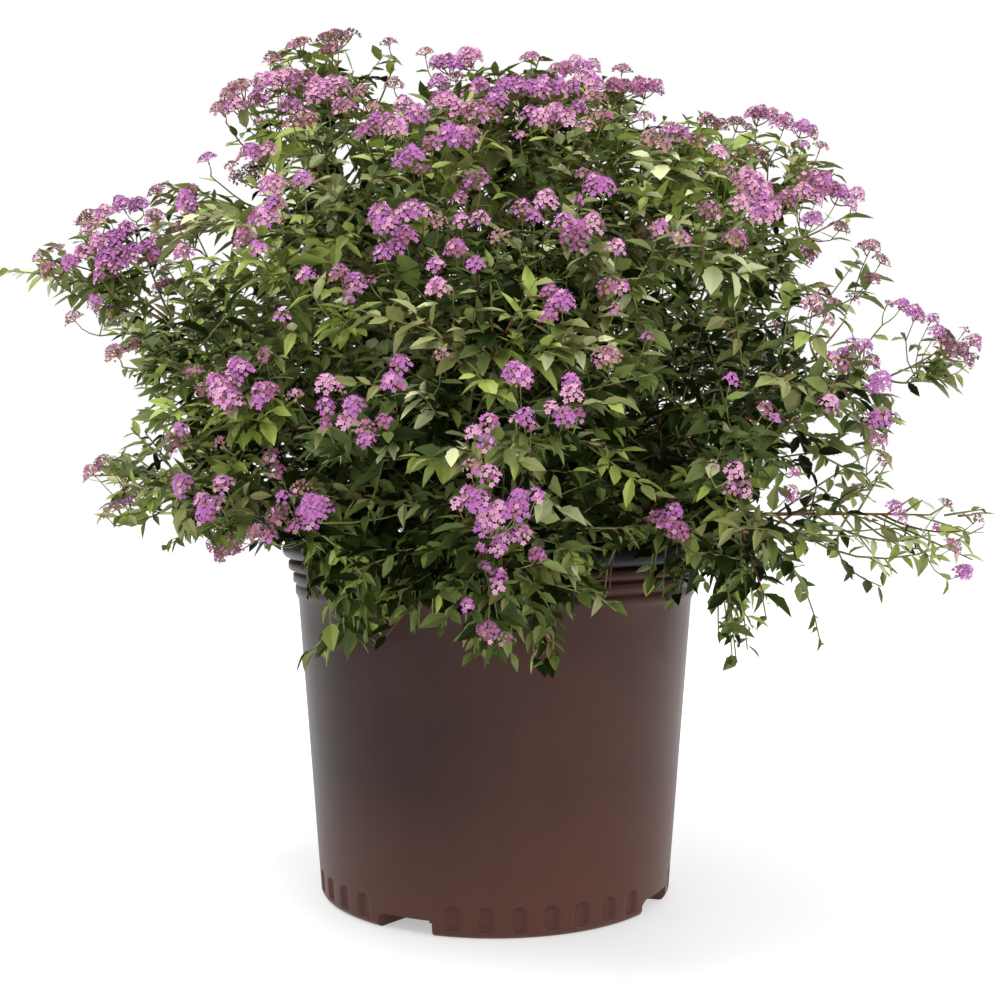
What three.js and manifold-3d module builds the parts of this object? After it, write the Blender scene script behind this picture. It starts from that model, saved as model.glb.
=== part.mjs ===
// A spirea shrub in bloom, growing in a round plastic nursery pot.
//
// Many thin canes rise from one woody root crown, fan out and end in leafy, flowering masses that
// together make a wide dome over the pot, with a skirt that hangs past its rim.
// Millimetres, +Z up. The origin is at the middle of the pot's flat underside, +X is to the shrub's
// right and -Y is its front.
import * as THREE from "three";
import { mergeVertices } from "three/addons/utils/BufferGeometryUtils.js";
import Module from "manifold-3d";

const wasm = await Module();
wasm.setup();
const { Manifold, Mesh: ManifoldMesh } = wasm;

// ---- Driving dimensions ----------------------------------------------------------------------

const GAP = 0.3; // what touching pieces keep between them
const UP = new THREE.Vector3(0, 0, 1);

// The pot: a tapering wall, three hoops under a rolled lip, and drain notches in the foot.
const POT_HEIGHT = 230;
const LIP_RADIUS = 140;
const LIP_DROP = 10;
const WALL_TOP_RADIUS = 129.5;
const WALL_TOP_Z = 194;
const FOOT_RADIUS = 115;
const FOOT_EDGE = 3;
const WALL = 2.4;
const FLOOR = 3;
const POT_SIDES = 32;
const HOOPS = [
  { radius: 136, low: 212.5, high: 218 },
  { radius: 133, low: 204, high: 210 },
  { radius: 131.5, low: 196, high: 202 },
];
const HOOP_GROOVE_RADIUS = 129.8;
const NOTCHES = 4;
const NOTCH_START_DEG = -118; // the first notch, turned from +X
const NOTCH = { width: 36, depth: 30, height: 9 };
const NOTCH_INNER = FOOT_RADIUS - NOTCH.depth; // from the pot's axis to a notch's inner end
const DRAIN = { width: 20, height: 5, sill: 2 }; // the slot in the back of each notch

// The potting mix fills the pot to a little under the lip.
const MIX_TOP_Z = 203;
const MIX_EDGE_DROP = 8;
const MIX_FLAT_RADIUS = 46;

// The root crown is a short flared stem, cut flat where it stands on the mix. Heights are from there.
const CROWN = {
  flareRadius: 36,
  waist: { radius: 25, height: 8 },
  shoulder: { radius: 21, height: 22 },
  top: { radius: 10, height: 33 },
};
const CROWN_SIDES = 12;
const CROWN_HEART = new THREE.Vector3(0, 0, MIX_TOP_Z + 9); // the canes all point back to here

// A cane's foot is cut to fit against the root crown. Arch is how far a cane's curve is pulled along
// its two ends' directions, as a share of the distance between them.
const CANE = { startRadius: 3.1, endRadius: 1.9, sides: 5, steps: 4, arch: 0.42 };

// The foliage: tiers of masses round the heart of the shrub, each tier's masses evenly spaced from +X
// round towards the back. Reach is how far a mass's tip is from the heart, lift turns the mass up or
// down from its tier's elevation, tilt turns its own axis further, and lowest is how far down it hangs.
// Bloom is the share of its rising shoots that flower. Root elevation and turn are of its cane's foot.
const HEART = new THREE.Vector3(0, 0, POT_HEIGHT);
const TIERS = [
  {
    name: "top", elevation: 73, startDeg: 12, rootElevation: 76,
    each: { depth: 170, halfWidth: 110, tilt: 6, bloom: 1, lowest: 230 },
    masses: {
      right: { reach: 322 },
      back: { reach: 322 },
      left: { reach: 350, lift: -7 },
      front: { reach: 312 },
    },
  },
  {
    name: "upper", elevation: 48, rootElevation: 58,
    each: { depth: 190, halfWidth: 122, tilt: 4, bloom: 0.85, lowest: 230 },
    masses: {
      right: { reach: 336, lift: 1 },
      back_right: { reach: 320 },
      back_left: { reach: 322 },
      left: { reach: 336, lift: 9 },
      front_left: { reach: 320 },
      front_right: { reach: 316 },
    },
  },
  {
    name: "middle", elevation: 23, rootElevation: 39,
    each: { depth: 190, halfWidth: 120, tilt: 3, bloom: 0.55, lowest: 230 },
    masses: {
      right: { reach: 348, lift: -1, halfWidth: 78 },
      back_right: { reach: 318 },
      back: { reach: 312 },
      back_left: { reach: 320 },
      left: { reach: 372, lift: 10, tilt: -4, halfWidth: 78 },
      front_left: { reach: 296, halfWidth: 106 },
      front: { reach: 300 },
      front_right: { reach: 304, halfWidth: 112 },
    },
  },
  {
    name: "skirt", elevation: 4, rootElevation: 20, rootTurnDeg: 14,
    each: { depth: 160, halfWidth: 112, tilt: -10, bloom: 0.35, lowest: 205 },
    masses: {
      right: { reach: 334, depth: 210, halfWidth: 88, tilt: -4, lowest: 180, open: true },
      back_right: { reach: 282 },
      back: { reach: 268 },
      back_left: { reach: 276 },
      left: { reach: 284, lift: 7, tilt: -6, lowest: 224, halfWidth: 90 },
      front_left: { reach: 264, depth: 132, lift: 5, lowest: 230, halfWidth: 100 },
      front: { reach: 252, lowest: 170 },
      front_right: { reach: 270, lowest: 166, halfWidth: 104 },
    },
  },
];

// How a mass grows: a dense core round a stem, shoots that stand out of it, and leaves and flower
// heads on the shoots and the core. An open mass has no core, and more shoots.
const SEED = 20;
const GOLDEN_ANGLE = THREE.MathUtils.degToRad(137.508);
const CLEARANCE = 1; // between a mass and the limbs it isn't on, or the pot
const LONGEST_ROOM = 130; // as far as a shoot or leaf looks ahead for room
const ROOM_STEP = 2;
const TURN_JITTER = 0.5; // radians

// The core is a smaller copy of its mass, set in from the walls that part it from its neighbours.
const CORE = { depthShare: 0.52, widthShare: 0.6, inset: 1.5 };

// Reach is where the stem ends, as a share of the mass's outer half, and bow how far it arches up.
const STEM = { startRadius: 1.8, endRadius: 1.2, sides: 3, steps: 3, reach: 0.8, bow: 3 };

// Shoots leave the stem from low on it, as a share of its length, to its tip. Their spread from the
// mass's axis narrows towards the tip, and lift bends each of them up.
const SHOOTS = 5;
const OPEN_SHOOTS = 11;
const SHOOT = { startRadius: 1.5, endRadius: 1, sides: 3, low: 0.4, lift: 0.2 };
const SHOOT_SPREAD = { lowDeg: 70, highDeg: 12 };
const LEAFY_SHARE = 0.58; // of the room ahead of a leafy shoot, with the leaf at its tip taking the rest
const TIP_LEAF_AT = 0.97;
const SIDE_LEAF = { at: 0.9, spreadDeg: 60 };

// A leaf's length is its greatest, and its other sizes shrink with it. Sink is how far its root goes in.
const LEAF = { length: 72, width: 38, fold: 3, widestAt: 0.42, sink: 0.8 };
const LEAF_FIT = { shortest: 26, roomShare: 0.96, shrink: 0.8, tries: 5, faceLift: 0.4 };
const CORE_LEAVES = { count: 7, widest: 1.2, spreadDeg: 58, seat: 0.78 };

// A flower head is a low dome on the cone of its stalks, set as far out along its shoot as it fits.
const HEAD = { radius: 27, sides: 6, domeShare: 0.3, stalkShare: 0.62, seat: 0.4, skin: 1.05 };
const HEAD_BROW = { acrossShare: 0.66, riseShare: 0.8 };
const HEAD_FACING = { along: 0.5, up: 0.8 };
const HEAD_SHOOT_SHARES = [0.92, 0.84, 0.76, 0.68];

// ---- Solids and meshes -----------------------------------------------------------------------

function toSolid(geometry) {
  const plain = new THREE.BufferGeometry();
  plain.setAttribute("position", geometry.getAttribute("position"));
  plain.setIndex(geometry.getIndex());
  const merged = mergeVertices(plain, 1e-4);
  return new Manifold(
    new ManifoldMesh({
      numProp: 3,
      vertProperties: new Float32Array(merged.attributes.position.array),
      triVerts: new Uint32Array(merged.index.array),
    }),
  );
}

function toMesh(name, solid, material) {
  const { vertProperties, triVerts } = solid.getMesh();
  const geometry = new THREE.BufferGeometry();
  geometry.setAttribute("position", new THREE.BufferAttribute(vertProperties, 3));
  geometry.setIndex(new THREE.BufferAttribute(triVerts, 1));
  geometry.computeVertexNormals();
  const mesh = new THREE.Mesh(geometry, material);
  mesh.name = name;
  return mesh;
}

// A turned solid about Z from [radius, z] pairs, listed from its foot up the outside.
function turned(profile, sides) {
  const points = profile.map(([radius, z]) => new THREE.Vector2(radius, z));
  return toSolid(new THREE.LatheGeometry(points, sides).rotateX(Math.PI / 2));
}

// A limb that tapers along a curve: a cylinder whose rings are carried along it.
function limb(curve, startRadius, endRadius, sides, steps) {
  const geometry = new THREE.CylinderGeometry(1, 1, 1, sides, steps);
  const { normals, binormals } = curve.computeFrenetFrames(steps);
  const centres = curve.getSpacedPoints(steps);
  const position = geometry.getAttribute("position");
  for (let i = 0; i < position.count; i++) {
    const ring = Math.round((position.getY(i) + 0.5) * steps);
    const radius = THREE.MathUtils.lerp(startRadius, endRadius, ring / steps);
    const point = centres[ring]
      .clone()
      .addScaledVector(normals[ring], position.getX(i) * radius)
      .addScaledVector(binormals[ring], -position.getZ(i) * radius);
    position.setXYZ(i, point.x, point.y, point.z);
  }
  return geometry;
}

function direction(azimuthDeg, elevationDeg) {
  const azimuth = THREE.MathUtils.degToRad(azimuthDeg);
  const elevation = THREE.MathUtils.degToRad(elevationDeg);
  return new THREE.Vector3(
    Math.cos(azimuth) * Math.cos(elevation),
    Math.sin(azimuth) * Math.cos(elevation),
    Math.sin(elevation),
  );
}

// A repeatable stream of numbers from 0 to 1.
function seeded(seed) {
  let state = seed >>> 0;
  return () => {
    state = (state + 0x6d2b79f5) >>> 0;
    let t = state;
    t = Math.imul(t ^ (t >>> 15), t | 1);
    t ^= t + Math.imul(t ^ (t >>> 7), t | 61);
    return ((t ^ (t >>> 14)) >>> 0) / 4294967296;
  };
}

// ---- The pot and its potting mix -------------------------------------------------------------

function wallRadius(z) {
  return THREE.MathUtils.mapLinear(z, 0, WALL_TOP_Z, FOOT_RADIUS, WALL_TOP_RADIUS);
}

// A box in a notch's own place: centred on its width, from the middle of the pot outwards.
function notchBox(index, width, inner, outer, low, high) {
  const box = new THREE.BoxGeometry(outer - inner, width, high - low);
  box.translate((outer + inner) / 2, 0, (low + high) / 2);
  box.rotateZ(THREE.MathUtils.degToRad(NOTCH_START_DEG + (index * 360) / NOTCHES));
  return toSolid(box);
}

function notchBoxes(width, inner, outer, low, high) {
  return Manifold.union(
    Array.from({ length: NOTCHES }, (_, index) => notchBox(index, width, inner, outer, low, high)),
  );
}

function potOutline() {
  const hoops = HOOPS.toReversed().flatMap(({ radius, low, high }) => [
    [HOOP_GROOVE_RADIUS, low],
    [radius, low],
    [radius, high],
  ]);
  return [
    [0, 0],
    [FOOT_RADIUS - FOOT_EDGE, 0],
    [wallRadius(FOOT_EDGE), FOOT_EDGE],
    [WALL_TOP_RADIUS, WALL_TOP_Z],
    ...hoops,
    [HOOP_GROOVE_RADIUS, POT_HEIGHT - LIP_DROP],
    [LIP_RADIUS, POT_HEIGHT - LIP_DROP],
    [LIP_RADIUS, POT_HEIGHT],
  ];
}

function potSolid() {
  const innerTop = HOOP_GROOVE_RADIUS - WALL;
  const shell = turned(
    [
      ...potOutline(),
      [innerTop + 1, POT_HEIGHT],
      [innerTop, POT_HEIGHT - WALL],
      [WALL_TOP_RADIUS - WALL, WALL_TOP_Z],
      [wallRadius(FLOOR) - WALL, FLOOR],
      [0, FLOOR],
    ],
    POT_SIDES,
  );
  const pocketWidth = NOTCH.width + 2 * WALL;
  const pocketOuter = FOOT_RADIUS - WALL / 2;
  const pocketTop = NOTCH.height + WALL;
  const pockets = notchBoxes(pocketWidth, NOTCH_INNER - WALL, pocketOuter, FLOOR / 2, pocketTop);
  const mouths = notchBoxes(NOTCH.width, NOTCH_INNER, LIP_RADIUS, -1, NOTCH.height);
  const drainLow = FLOOR + DRAIN.sill;
  const drainHigh = drainLow + DRAIN.height;
  const drains = notchBoxes(DRAIN.width, NOTCH_INNER - 2 * WALL, NOTCH_INNER + WALL, drainLow, drainHigh);
  return shell.add(pockets).subtract(mouths).subtract(drains);
}

function mixSolid() {
  const clear = WALL + GAP;
  const clearAtCorner = clear / Math.cos(Math.PI / POT_SIDES);
  const mix = turned(
    [
      [0, FLOOR + GAP],
      [wallRadius(FLOOR) - clearAtCorner, FLOOR + GAP],
      [WALL_TOP_RADIUS - clearAtCorner, MIX_TOP_Z - MIX_EDGE_DROP],
      [MIX_FLAT_RADIUS, MIX_TOP_Z],
      [0, MIX_TOP_Z],
    ],
    POT_SIDES,
  );
  const pocketWidth = NOTCH.width + 2 * clear;
  const pockets = notchBoxes(pocketWidth, NOTCH_INNER - clear, LIP_RADIUS, 0, NOTCH.height + clear);
  return mix.subtract(pockets);
}

// What foliage keeps out of: the pot as one block, a little larger all round.
function potRoom() {
  const lip = LIP_RADIUS + CLEARANCE;
  return turned(
    [
      [0, -CLEARANCE],
      [FOOT_RADIUS + CLEARANCE, -CLEARANCE],
      [WALL_TOP_RADIUS + CLEARANCE, WALL_TOP_Z],
      [lip, POT_HEIGHT - LIP_DROP - CLEARANCE],
      [lip, POT_HEIGHT + CLEARANCE],
      [0, POT_HEIGHT + CLEARANCE],
    ],
    POT_SIDES,
  );
}

// ---- Where the masses and canes lie ----------------------------------------------------------

function layOut() {
  const masses = TIERS.flatMap((tier) =>
    Object.entries(tier.masses).map(([name, own], index, { length }) => {
      const { reach, lift = 0, depth, tilt, ...rest } = { ...tier.each, ...own };
      const { startDeg = 0, rootTurnDeg = 0, rootElevation } = tier;
      const azimuth = startDeg + (index * 360) / length;
      const elevation = tier.elevation + lift;
      const axis = direction(azimuth, elevation + tilt);
      const centre = direction(azimuth, elevation).multiplyScalar(reach - depth / 2).add(HEART);
      return {
        name: `${tier.name}_${name}`,
        axis,
        centre,
        halfDepth: depth / 2,
        entry: centre.clone().addScaledVector(axis, -depth / 2),
        rootDirection: direction(azimuth + rootTurnDeg, rootElevation),
        ...rest,
      };
    }),
  );
  masses.forEach((mass, index) => {
    mass.seed = SEED + index;
    mass.walls = masses.filter((other) => other !== mass).map((other) => wallBetween(mass, other));
  });
  return masses;
}

// A wall between each two masses keeps each to its own space.
function wallBetween(mass, other) {
  const normal = other.centre.clone().sub(mass.centre);
  const share = mass.halfWidth / (mass.halfWidth + other.halfWidth);
  const foot = mass.centre.clone().addScaledVector(normal, share);
  normal.normalize();
  return { normal, limit: foot.dot(normal) - GAP };
}

// How far out in its mass a point is: 1 on the mass's skin.
function depthIn(mass, point) {
  const offset = point.clone().sub(mass.centre);
  const along = offset.dot(mass.axis);
  const across = Math.sqrt(Math.max(0, offset.lengthSq() - along * along));
  return Math.hypot(along / mass.halfDepth, across / mass.halfWidth);
}

function inside(mass, point, skin = 1) {
  if (point.z < mass.lowest || depthIn(mass, point) > skin) return false;
  return mass.walls.every(({ normal, limit }) => point.dot(normal) < limit);
}

// The room from a point along a direction, up to the mass's skin or a wall.
function roomAlong(mass, from, heading) {
  const point = from.clone();
  let length = 0;
  while (length < LONGEST_ROOM && inside(mass, point.addScaledVector(heading, ROOM_STEP))) {
    length += ROOM_STEP;
  }
  return length;
}

// ---- The root crown and the canes ------------------------------------------------------------

// The root crown, or with extra the room that it takes up with that much round it.
function crownSolid(extra = 0) {
  const { flareRadius, waist, shoulder, top } = CROWN;
  const foot = MIX_TOP_Z + GAP;
  const ring = ({ radius, height }) => [radius + extra, foot + height + extra];
  const profile = [
    [0, foot],
    [flareRadius + extra, foot],
    ring(waist),
    ring(shoulder),
    ring(top),
    [0, foot + top.height + extra],
  ];
  return turned(profile, CROWN_SIDES);
}

// A cane rises from inside the root crown and arches over into its mass along the mass's own axis.
function caneCurve(mass) {
  const start = CROWN_HEART.clone().addScaledVector(mass.rootDirection, CROWN.shoulder.radius / 2);
  const pull = start.distanceTo(mass.entry) * CANE.arch;
  return new THREE.CubicBezierCurve3(
    start,
    start.clone().addScaledVector(mass.rootDirection, pull),
    mass.entry.clone().addScaledVector(mass.axis, -pull),
    mass.entry,
  );
}

function caneSolid(mass, crownRoom, extra = 0) {
  const { startRadius, endRadius, sides, steps } = CANE;
  const cane = toSolid(limb(caneCurve(mass), startRadius + extra, endRadius + extra, sides, steps));
  return cane.subtract(crownRoom);
}

// ---- A mass of foliage -----------------------------------------------------------------------

// Two directions square to one axis, the first as level as it can be.
function squareTo(axis) {
  const level = Math.abs(axis.z) > 0.99 ? new THREE.Vector3(1, 0, 0) : UP.clone();
  const side = level.cross(axis).normalize();
  return { side, rise: axis.clone().cross(side).normalize() };
}

// A direction at an angle to an axis, turned round it.
function spreadFrom(axis, spread, turn) {
  const { side, rise } = squareTo(axis);
  return axis
    .clone()
    .multiplyScalar(Math.cos(spread))
    .addScaledVector(side, Math.cos(turn) * Math.sin(spread))
    .addScaledVector(rise, Math.sin(turn) * Math.sin(spread));
}

// A folded blade: a tetrahedron with its rib along one edge, from root to tip, and the blade's two
// side corners lower.
function leafGeometry(root, heading, face, size) {
  const side = face.clone().cross(heading).normalize();
  const normal = heading.clone().cross(side);
  const corners = [
    [-LEAF.sink, 0, 0],
    [LEAF.length * size, 0, 0],
    [LEAF.length * LEAF.widestAt * size, (LEAF.width / 2) * size, -LEAF.fold],
    [LEAF.length * LEAF.widestAt * size, (-LEAF.width / 2) * size, -LEAF.fold],
  ].map(([along, across, height]) =>
    root
      .clone()
      .addScaledVector(heading, along)
      .addScaledVector(side, across)
      .addScaledVector(normal, height),
  );
  const geometry = new THREE.BufferGeometry().setFromPoints(corners);
  geometry.setIndex([0, 1, 2, 0, 3, 1, 0, 2, 3, 1, 3, 2]);
  return geometry;
}

// A flat-topped flower head: a low dome over the cone of its stalks.
function headGeometry(base, heading, radius) {
  const dome = radius * HEAD.domeShare;
  const points = [
    [0, -radius * HEAD.stalkShare],
    [radius, 0],
    [radius * HEAD_BROW.acrossShare, dome * HEAD_BROW.riseShare],
    [0, dome],
  ].map(([across, along]) => new THREE.Vector2(across, along));
  const geometry = new THREE.LatheGeometry(points, HEAD.sides);
  geometry.applyQuaternion(new THREE.Quaternion().setFromUnitVectors(new THREE.Vector3(0, 1, 0), heading));
  return geometry.translate(base.x, base.y, base.z);
}

// A mass's core is a smaller copy of the mass, cut a little inside the walls of its space.
function coreSolid(mass, keepOut) {
  const geometry = new THREE.OctahedronGeometry(1, 1);
  const across = mass.halfWidth * CORE.widthShare;
  geometry.scale(across, across, mass.halfDepth * CORE.depthShare);
  geometry.applyQuaternion(new THREE.Quaternion().setFromUnitVectors(UP, mass.axis));
  geometry.translate(mass.centre.x, mass.centre.y, mass.centre.z);
  let core = toSolid(geometry).trimByPlane(UP.toArray(), mass.lowest + CORE.inset);
  for (const { normal, limit } of mass.walls) {
    core = core.trimByPlane(normal.clone().negate().toArray(), CORE.inset - limit);
  }
  return core.subtract(keepOut);
}

// How far a mass's core reaches from its centre along a direction.
function coreReach(mass, heading) {
  const along = heading.dot(mass.axis);
  const across = Math.sqrt(Math.max(0, 1 - along * along));
  const depth = mass.halfDepth * CORE.depthShare;
  const width = mass.halfWidth * CORE.widthShare;
  const skin = 1 / Math.hypot(along / depth, across / width);
  return Math.min(skin, roomAlong(mass, mass.centre, heading));
}

// The solid of a geometry, if it keeps to its mass's space and clear of every limb.
function fitted(mass, keepOut, geometry, skin) {
  const position = geometry.getAttribute("position");
  const point = new THREE.Vector3();
  for (let i = 0; i < position.count; i++) {
    if (!inside(mass, point.fromBufferAttribute(position, i), skin)) return null;
  }
  const solid = toSolid(geometry);
  return keepOut.intersect(solid).isEmpty() ? solid : null;
}

// A leaf spreads from its twig or core towards where it has most room, fills that room up to its
// full length, and shows its face to the light.
function growLeaf(mass, keepOut, root, axis, spreadDeg, startTurn, out) {
  const { shortest, roomShare, shrink, tries, faceLift } = LEAF_FIT;
  const spread = THREE.MathUtils.degToRad(spreadDeg);
  const ways = Array.from({ length: tries }, (_, i) => {
    const heading = spreadFrom(axis, spread, startTurn + (i * 2 * Math.PI) / tries);
    return { heading, room: roomAlong(mass, root, heading) };
  });
  const { heading, room } = ways.reduce((best, next) => (next.room > best.room ? next : best));
  const face = out.clone().addScaledVector(UP, faceLift);
  for (let length = Math.min(LEAF.length, room * roomShare); length > shortest; length *= shrink) {
    const leaf = fitted(mass, keepOut, leafGeometry(root, heading, face, length / LEAF.length));
    if (leaf) return [leaf];
  }
  return [];
}

function outwardAt(point) {
  return point.clone().sub(HEART).normalize();
}

function shootLine(root, heading, length) {
  return new THREE.LineCurve3(root, root.clone().addScaledVector(heading, length));
}

function shootSolid(mass, keepOut, line) {
  return fitted(mass, keepOut, limb(line, SHOOT.startRadius, SHOOT.endRadius, SHOOT.sides, 1));
}

// A shoot with a flower head at its tip, as far out as the head fits.
function growBloomingShoot(mass, keepOut, root, heading, room) {
  const facing = heading.clone().multiplyScalar(HEAD_FACING.along).addScaledVector(UP, HEAD_FACING.up);
  facing.normalize();
  for (const share of HEAD_SHOOT_SHARES) {
    const line = shootLine(root, heading, room * share);
    const base = line.v2.clone().addScaledVector(facing, HEAD.radius * HEAD.seat);
    const head = fitted(mass, keepOut, headGeometry(base, facing, HEAD.radius), HEAD.skin);
    const shoot = head && shootSolid(mass, keepOut, line);
    if (shoot) return { line, solids: [shoot, head] };
  }
  return null;
}

function growLeafyShoot(mass, keepOut, root, heading, room) {
  const line = shootLine(root, heading, room * LEAFY_SHARE);
  const shoot = room > LEAF_FIT.shortest && shootSolid(mass, keepOut, line);
  if (!shoot) return null;
  const tip = line.getPoint(TIP_LEAF_AT);
  return { line, solids: [shoot, ...growLeaf(mass, keepOut, tip, heading, 0, 0, outwardAt(tip))] };
}

// Each shoot and core leaf has a stream of its own, so that a change to one leaves the others alone.
function streamFor(mass, index) {
  return seeded(mass.seed * 100 + index);
}

function growShoot(mass, keepOut, stem, k, count) {
  const random = streamFor(mass, k);
  const root = stem.getPoint(THREE.MathUtils.lerp(SHOOT.low, 1, (k + 0.5) / count));
  const spreadDeg = THREE.MathUtils.lerp(SHOOT_SPREAD.lowDeg, SHOOT_SPREAD.highDeg, k / (count - 1));
  const turn = k * GOLDEN_ANGLE + mass.seed + random() * TURN_JITTER;
  const heading = spreadFrom(mass.axis, THREE.MathUtils.degToRad(spreadDeg), turn);
  heading.addScaledVector(UP, SHOOT.lift).normalize();
  const room = roomAlong(mass, root, heading);
  const blooms = heading.z > 0 && random() < mass.bloom;
  const grown =
    (blooms && growBloomingShoot(mass, keepOut, root, heading, room)) ||
    growLeafyShoot(mass, keepOut, root, heading, room);
  if (!grown) return [];
  const leafRoot = grown.line.getPoint(SIDE_LEAF.at);
  const leafTurn = turn + GOLDEN_ANGLE + random() * TURN_JITTER;
  const out = outwardAt(leafRoot);
  return [...grown.solids, ...growLeaf(mass, keepOut, leafRoot, heading, SIDE_LEAF.spreadDeg, leafTurn, out)];
}

// A leaf that stands out of a core, on the side that faces away from the heart.
function growCoreLeaf(mass, keepOut, i) {
  const random = streamFor(mass, SHOOTS + i);
  const spread = Math.acos(1 - (CORE_LEAVES.widest * (i + 0.5)) / CORE_LEAVES.count);
  const out = spreadFrom(mass.axis, spread, i * GOLDEN_ANGLE + mass.seed);
  const root = mass.centre.clone().addScaledVector(out, coreReach(mass, out) * CORE_LEAVES.seat);
  return growLeaf(mass, keepOut, root, out, CORE_LEAVES.spreadDeg, random() * Math.PI, out);
}

function stemCurve(mass) {
  const start = mass.entry.clone().addScaledVector(mass.axis, GAP);
  const middle = mass.centre.clone().addScaledVector(squareTo(mass.axis).rise, STEM.bow);
  const tip = mass.centre.clone().addScaledVector(mass.axis, mass.halfDepth * STEM.reach);
  return new THREE.QuadraticBezierCurve3(start, middle, tip);
}

function stemSolid(mass, extra = 0) {
  const { startRadius, endRadius, sides, steps } = STEM;
  return toSolid(limb(stemCurve(mass), startRadius + extra, endRadius + extra, sides, steps));
}

function massSolid(mass, keepOut) {
  const stem = stemCurve(mass);
  const solids = [stemSolid(mass)];
  const shoots = mass.open ? OPEN_SHOOTS : SHOOTS;
  for (let k = 0; k < shoots; k++) {
    solids.push(...growShoot(mass, keepOut, stem, k, shoots));
  }
  if (mass.open) return largestBody(Manifold.union(solids));
  for (let i = 0; i < CORE_LEAVES.count; i++) {
    solids.push(...growCoreLeaf(mass, keepOut, i));
  }
  return largestBody(Manifold.union([coreSolid(mass, keepOut), ...solids]));
}

// A mass without the loose scraps that cutting its core can leave.
function largestBody(solid) {
  return solid.decompose().reduce((best, next) => (next.volume() > best.volume() ? next : best));
}

// ---- Materials -------------------------------------------------------------------------------

function potPlastic() {
  return new THREE.MeshStandardMaterial({ color: 0x55352e, roughness: 0.45, metalness: 0 });
}

function moistMix() {
  return new THREE.MeshStandardMaterial({ color: 0x2c211a, roughness: 1, metalness: 0 });
}

function bark() {
  return new THREE.MeshStandardMaterial({ color: 0x6b4a34, roughness: 0.85, metalness: 0 });
}

function foliage() {
  return new THREE.MeshStandardMaterial({ color: 0x3f5f25, roughness: 0.6, metalness: 0 });
}

// ---- The whole plant -------------------------------------------------------------------------

const pottedShrub = new THREE.Group();
pottedShrub.add(toMesh("pot", potSolid(), potPlastic()));
pottedShrub.add(toMesh("potting_mix", mixSolid(), moistMix()));
pottedShrub.add(toMesh("root_crown", crownSolid(), bark()));

const masses = layOut();
const crownRoom = crownSolid(GAP);
const caneRoom = masses.map((mass) => caneSolid(mass, crownRoom, CLEARANCE));
const limbRoom = Manifold.union([potRoom(), ...caneRoom]);
for (const mass of masses) {
  const others = masses.filter((other) => other !== mass);
  const keepOut = Manifold.union([limbRoom, ...others.map((other) => stemSolid(other, CLEARANCE))]);
  pottedShrub.add(toMesh(`cane_${mass.name}`, caneSolid(mass, crownRoom), bark()));
  pottedShrub.add(toMesh(`foliage_${mass.name}`, massSolid(mass, keepOut), foliage()));
}

export default pottedShrub;
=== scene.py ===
"""A spirea shrub in bloom in its brown nursery pot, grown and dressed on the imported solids.

Metres, +Z up. The origin is at the middle of the pot's flat underside, and -Y is the shrub's front.
"""
import math

import bpy
import numpy as np
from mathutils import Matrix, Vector


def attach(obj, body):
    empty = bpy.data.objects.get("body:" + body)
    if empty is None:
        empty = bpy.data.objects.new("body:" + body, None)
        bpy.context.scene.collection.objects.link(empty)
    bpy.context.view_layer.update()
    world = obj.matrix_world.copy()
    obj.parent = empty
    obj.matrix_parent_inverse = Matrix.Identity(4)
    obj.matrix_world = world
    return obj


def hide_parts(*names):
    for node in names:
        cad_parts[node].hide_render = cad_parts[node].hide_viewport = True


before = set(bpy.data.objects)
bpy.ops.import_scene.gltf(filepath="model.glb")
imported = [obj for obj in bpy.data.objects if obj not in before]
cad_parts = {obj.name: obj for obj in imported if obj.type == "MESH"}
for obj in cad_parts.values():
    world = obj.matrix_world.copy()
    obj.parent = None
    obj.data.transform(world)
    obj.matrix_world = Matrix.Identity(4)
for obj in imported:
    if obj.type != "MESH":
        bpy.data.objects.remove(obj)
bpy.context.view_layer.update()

UP = np.array([0.0, 0.0, 1.0])
FRONT = np.array([0.0, -1.0, 0.0])
SIDEWAYS = np.array([1.0, 0.0, 0.0])
GOLDEN_ANGLE = math.radians(137.508)
MM = 1000  # in a metre

# ---- The camera, lights and floor ----

EYE = np.array([0.0033, -0.955, 0.280])
CAMERA = {"lens": 51.73, "sensor": 36, "tilt": -1.4}  # mm, mm, degrees
LIGHTS = {  # place, side of the lamp, power
    "key": ((-0.8, -0.7, 2.6), 1.2, 56),
    "fill": ((1.9, -1.1, 1.2), 1.4, 14),
    "back": ((0.5, 1.9, 1.7), 1.6, 8),
}
LIGHT_AIM = (0, 0, 0.28)
WHITE = (1.0, 1.0, 1.0, 1.0)
FLOOR_GREY = (0.66, 0.66, 0.67, 1.0)
FLOOR_GLOW = 0.42
FLOOR_REACH = 9

# ---- Sizes of the pot ----

POT_HEIGHT = 0.230
LIP_RADIUS = 0.140
LIP_DROP = 0.010
LIP_ARC = (-120, 110)  # degrees round the roll
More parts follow.
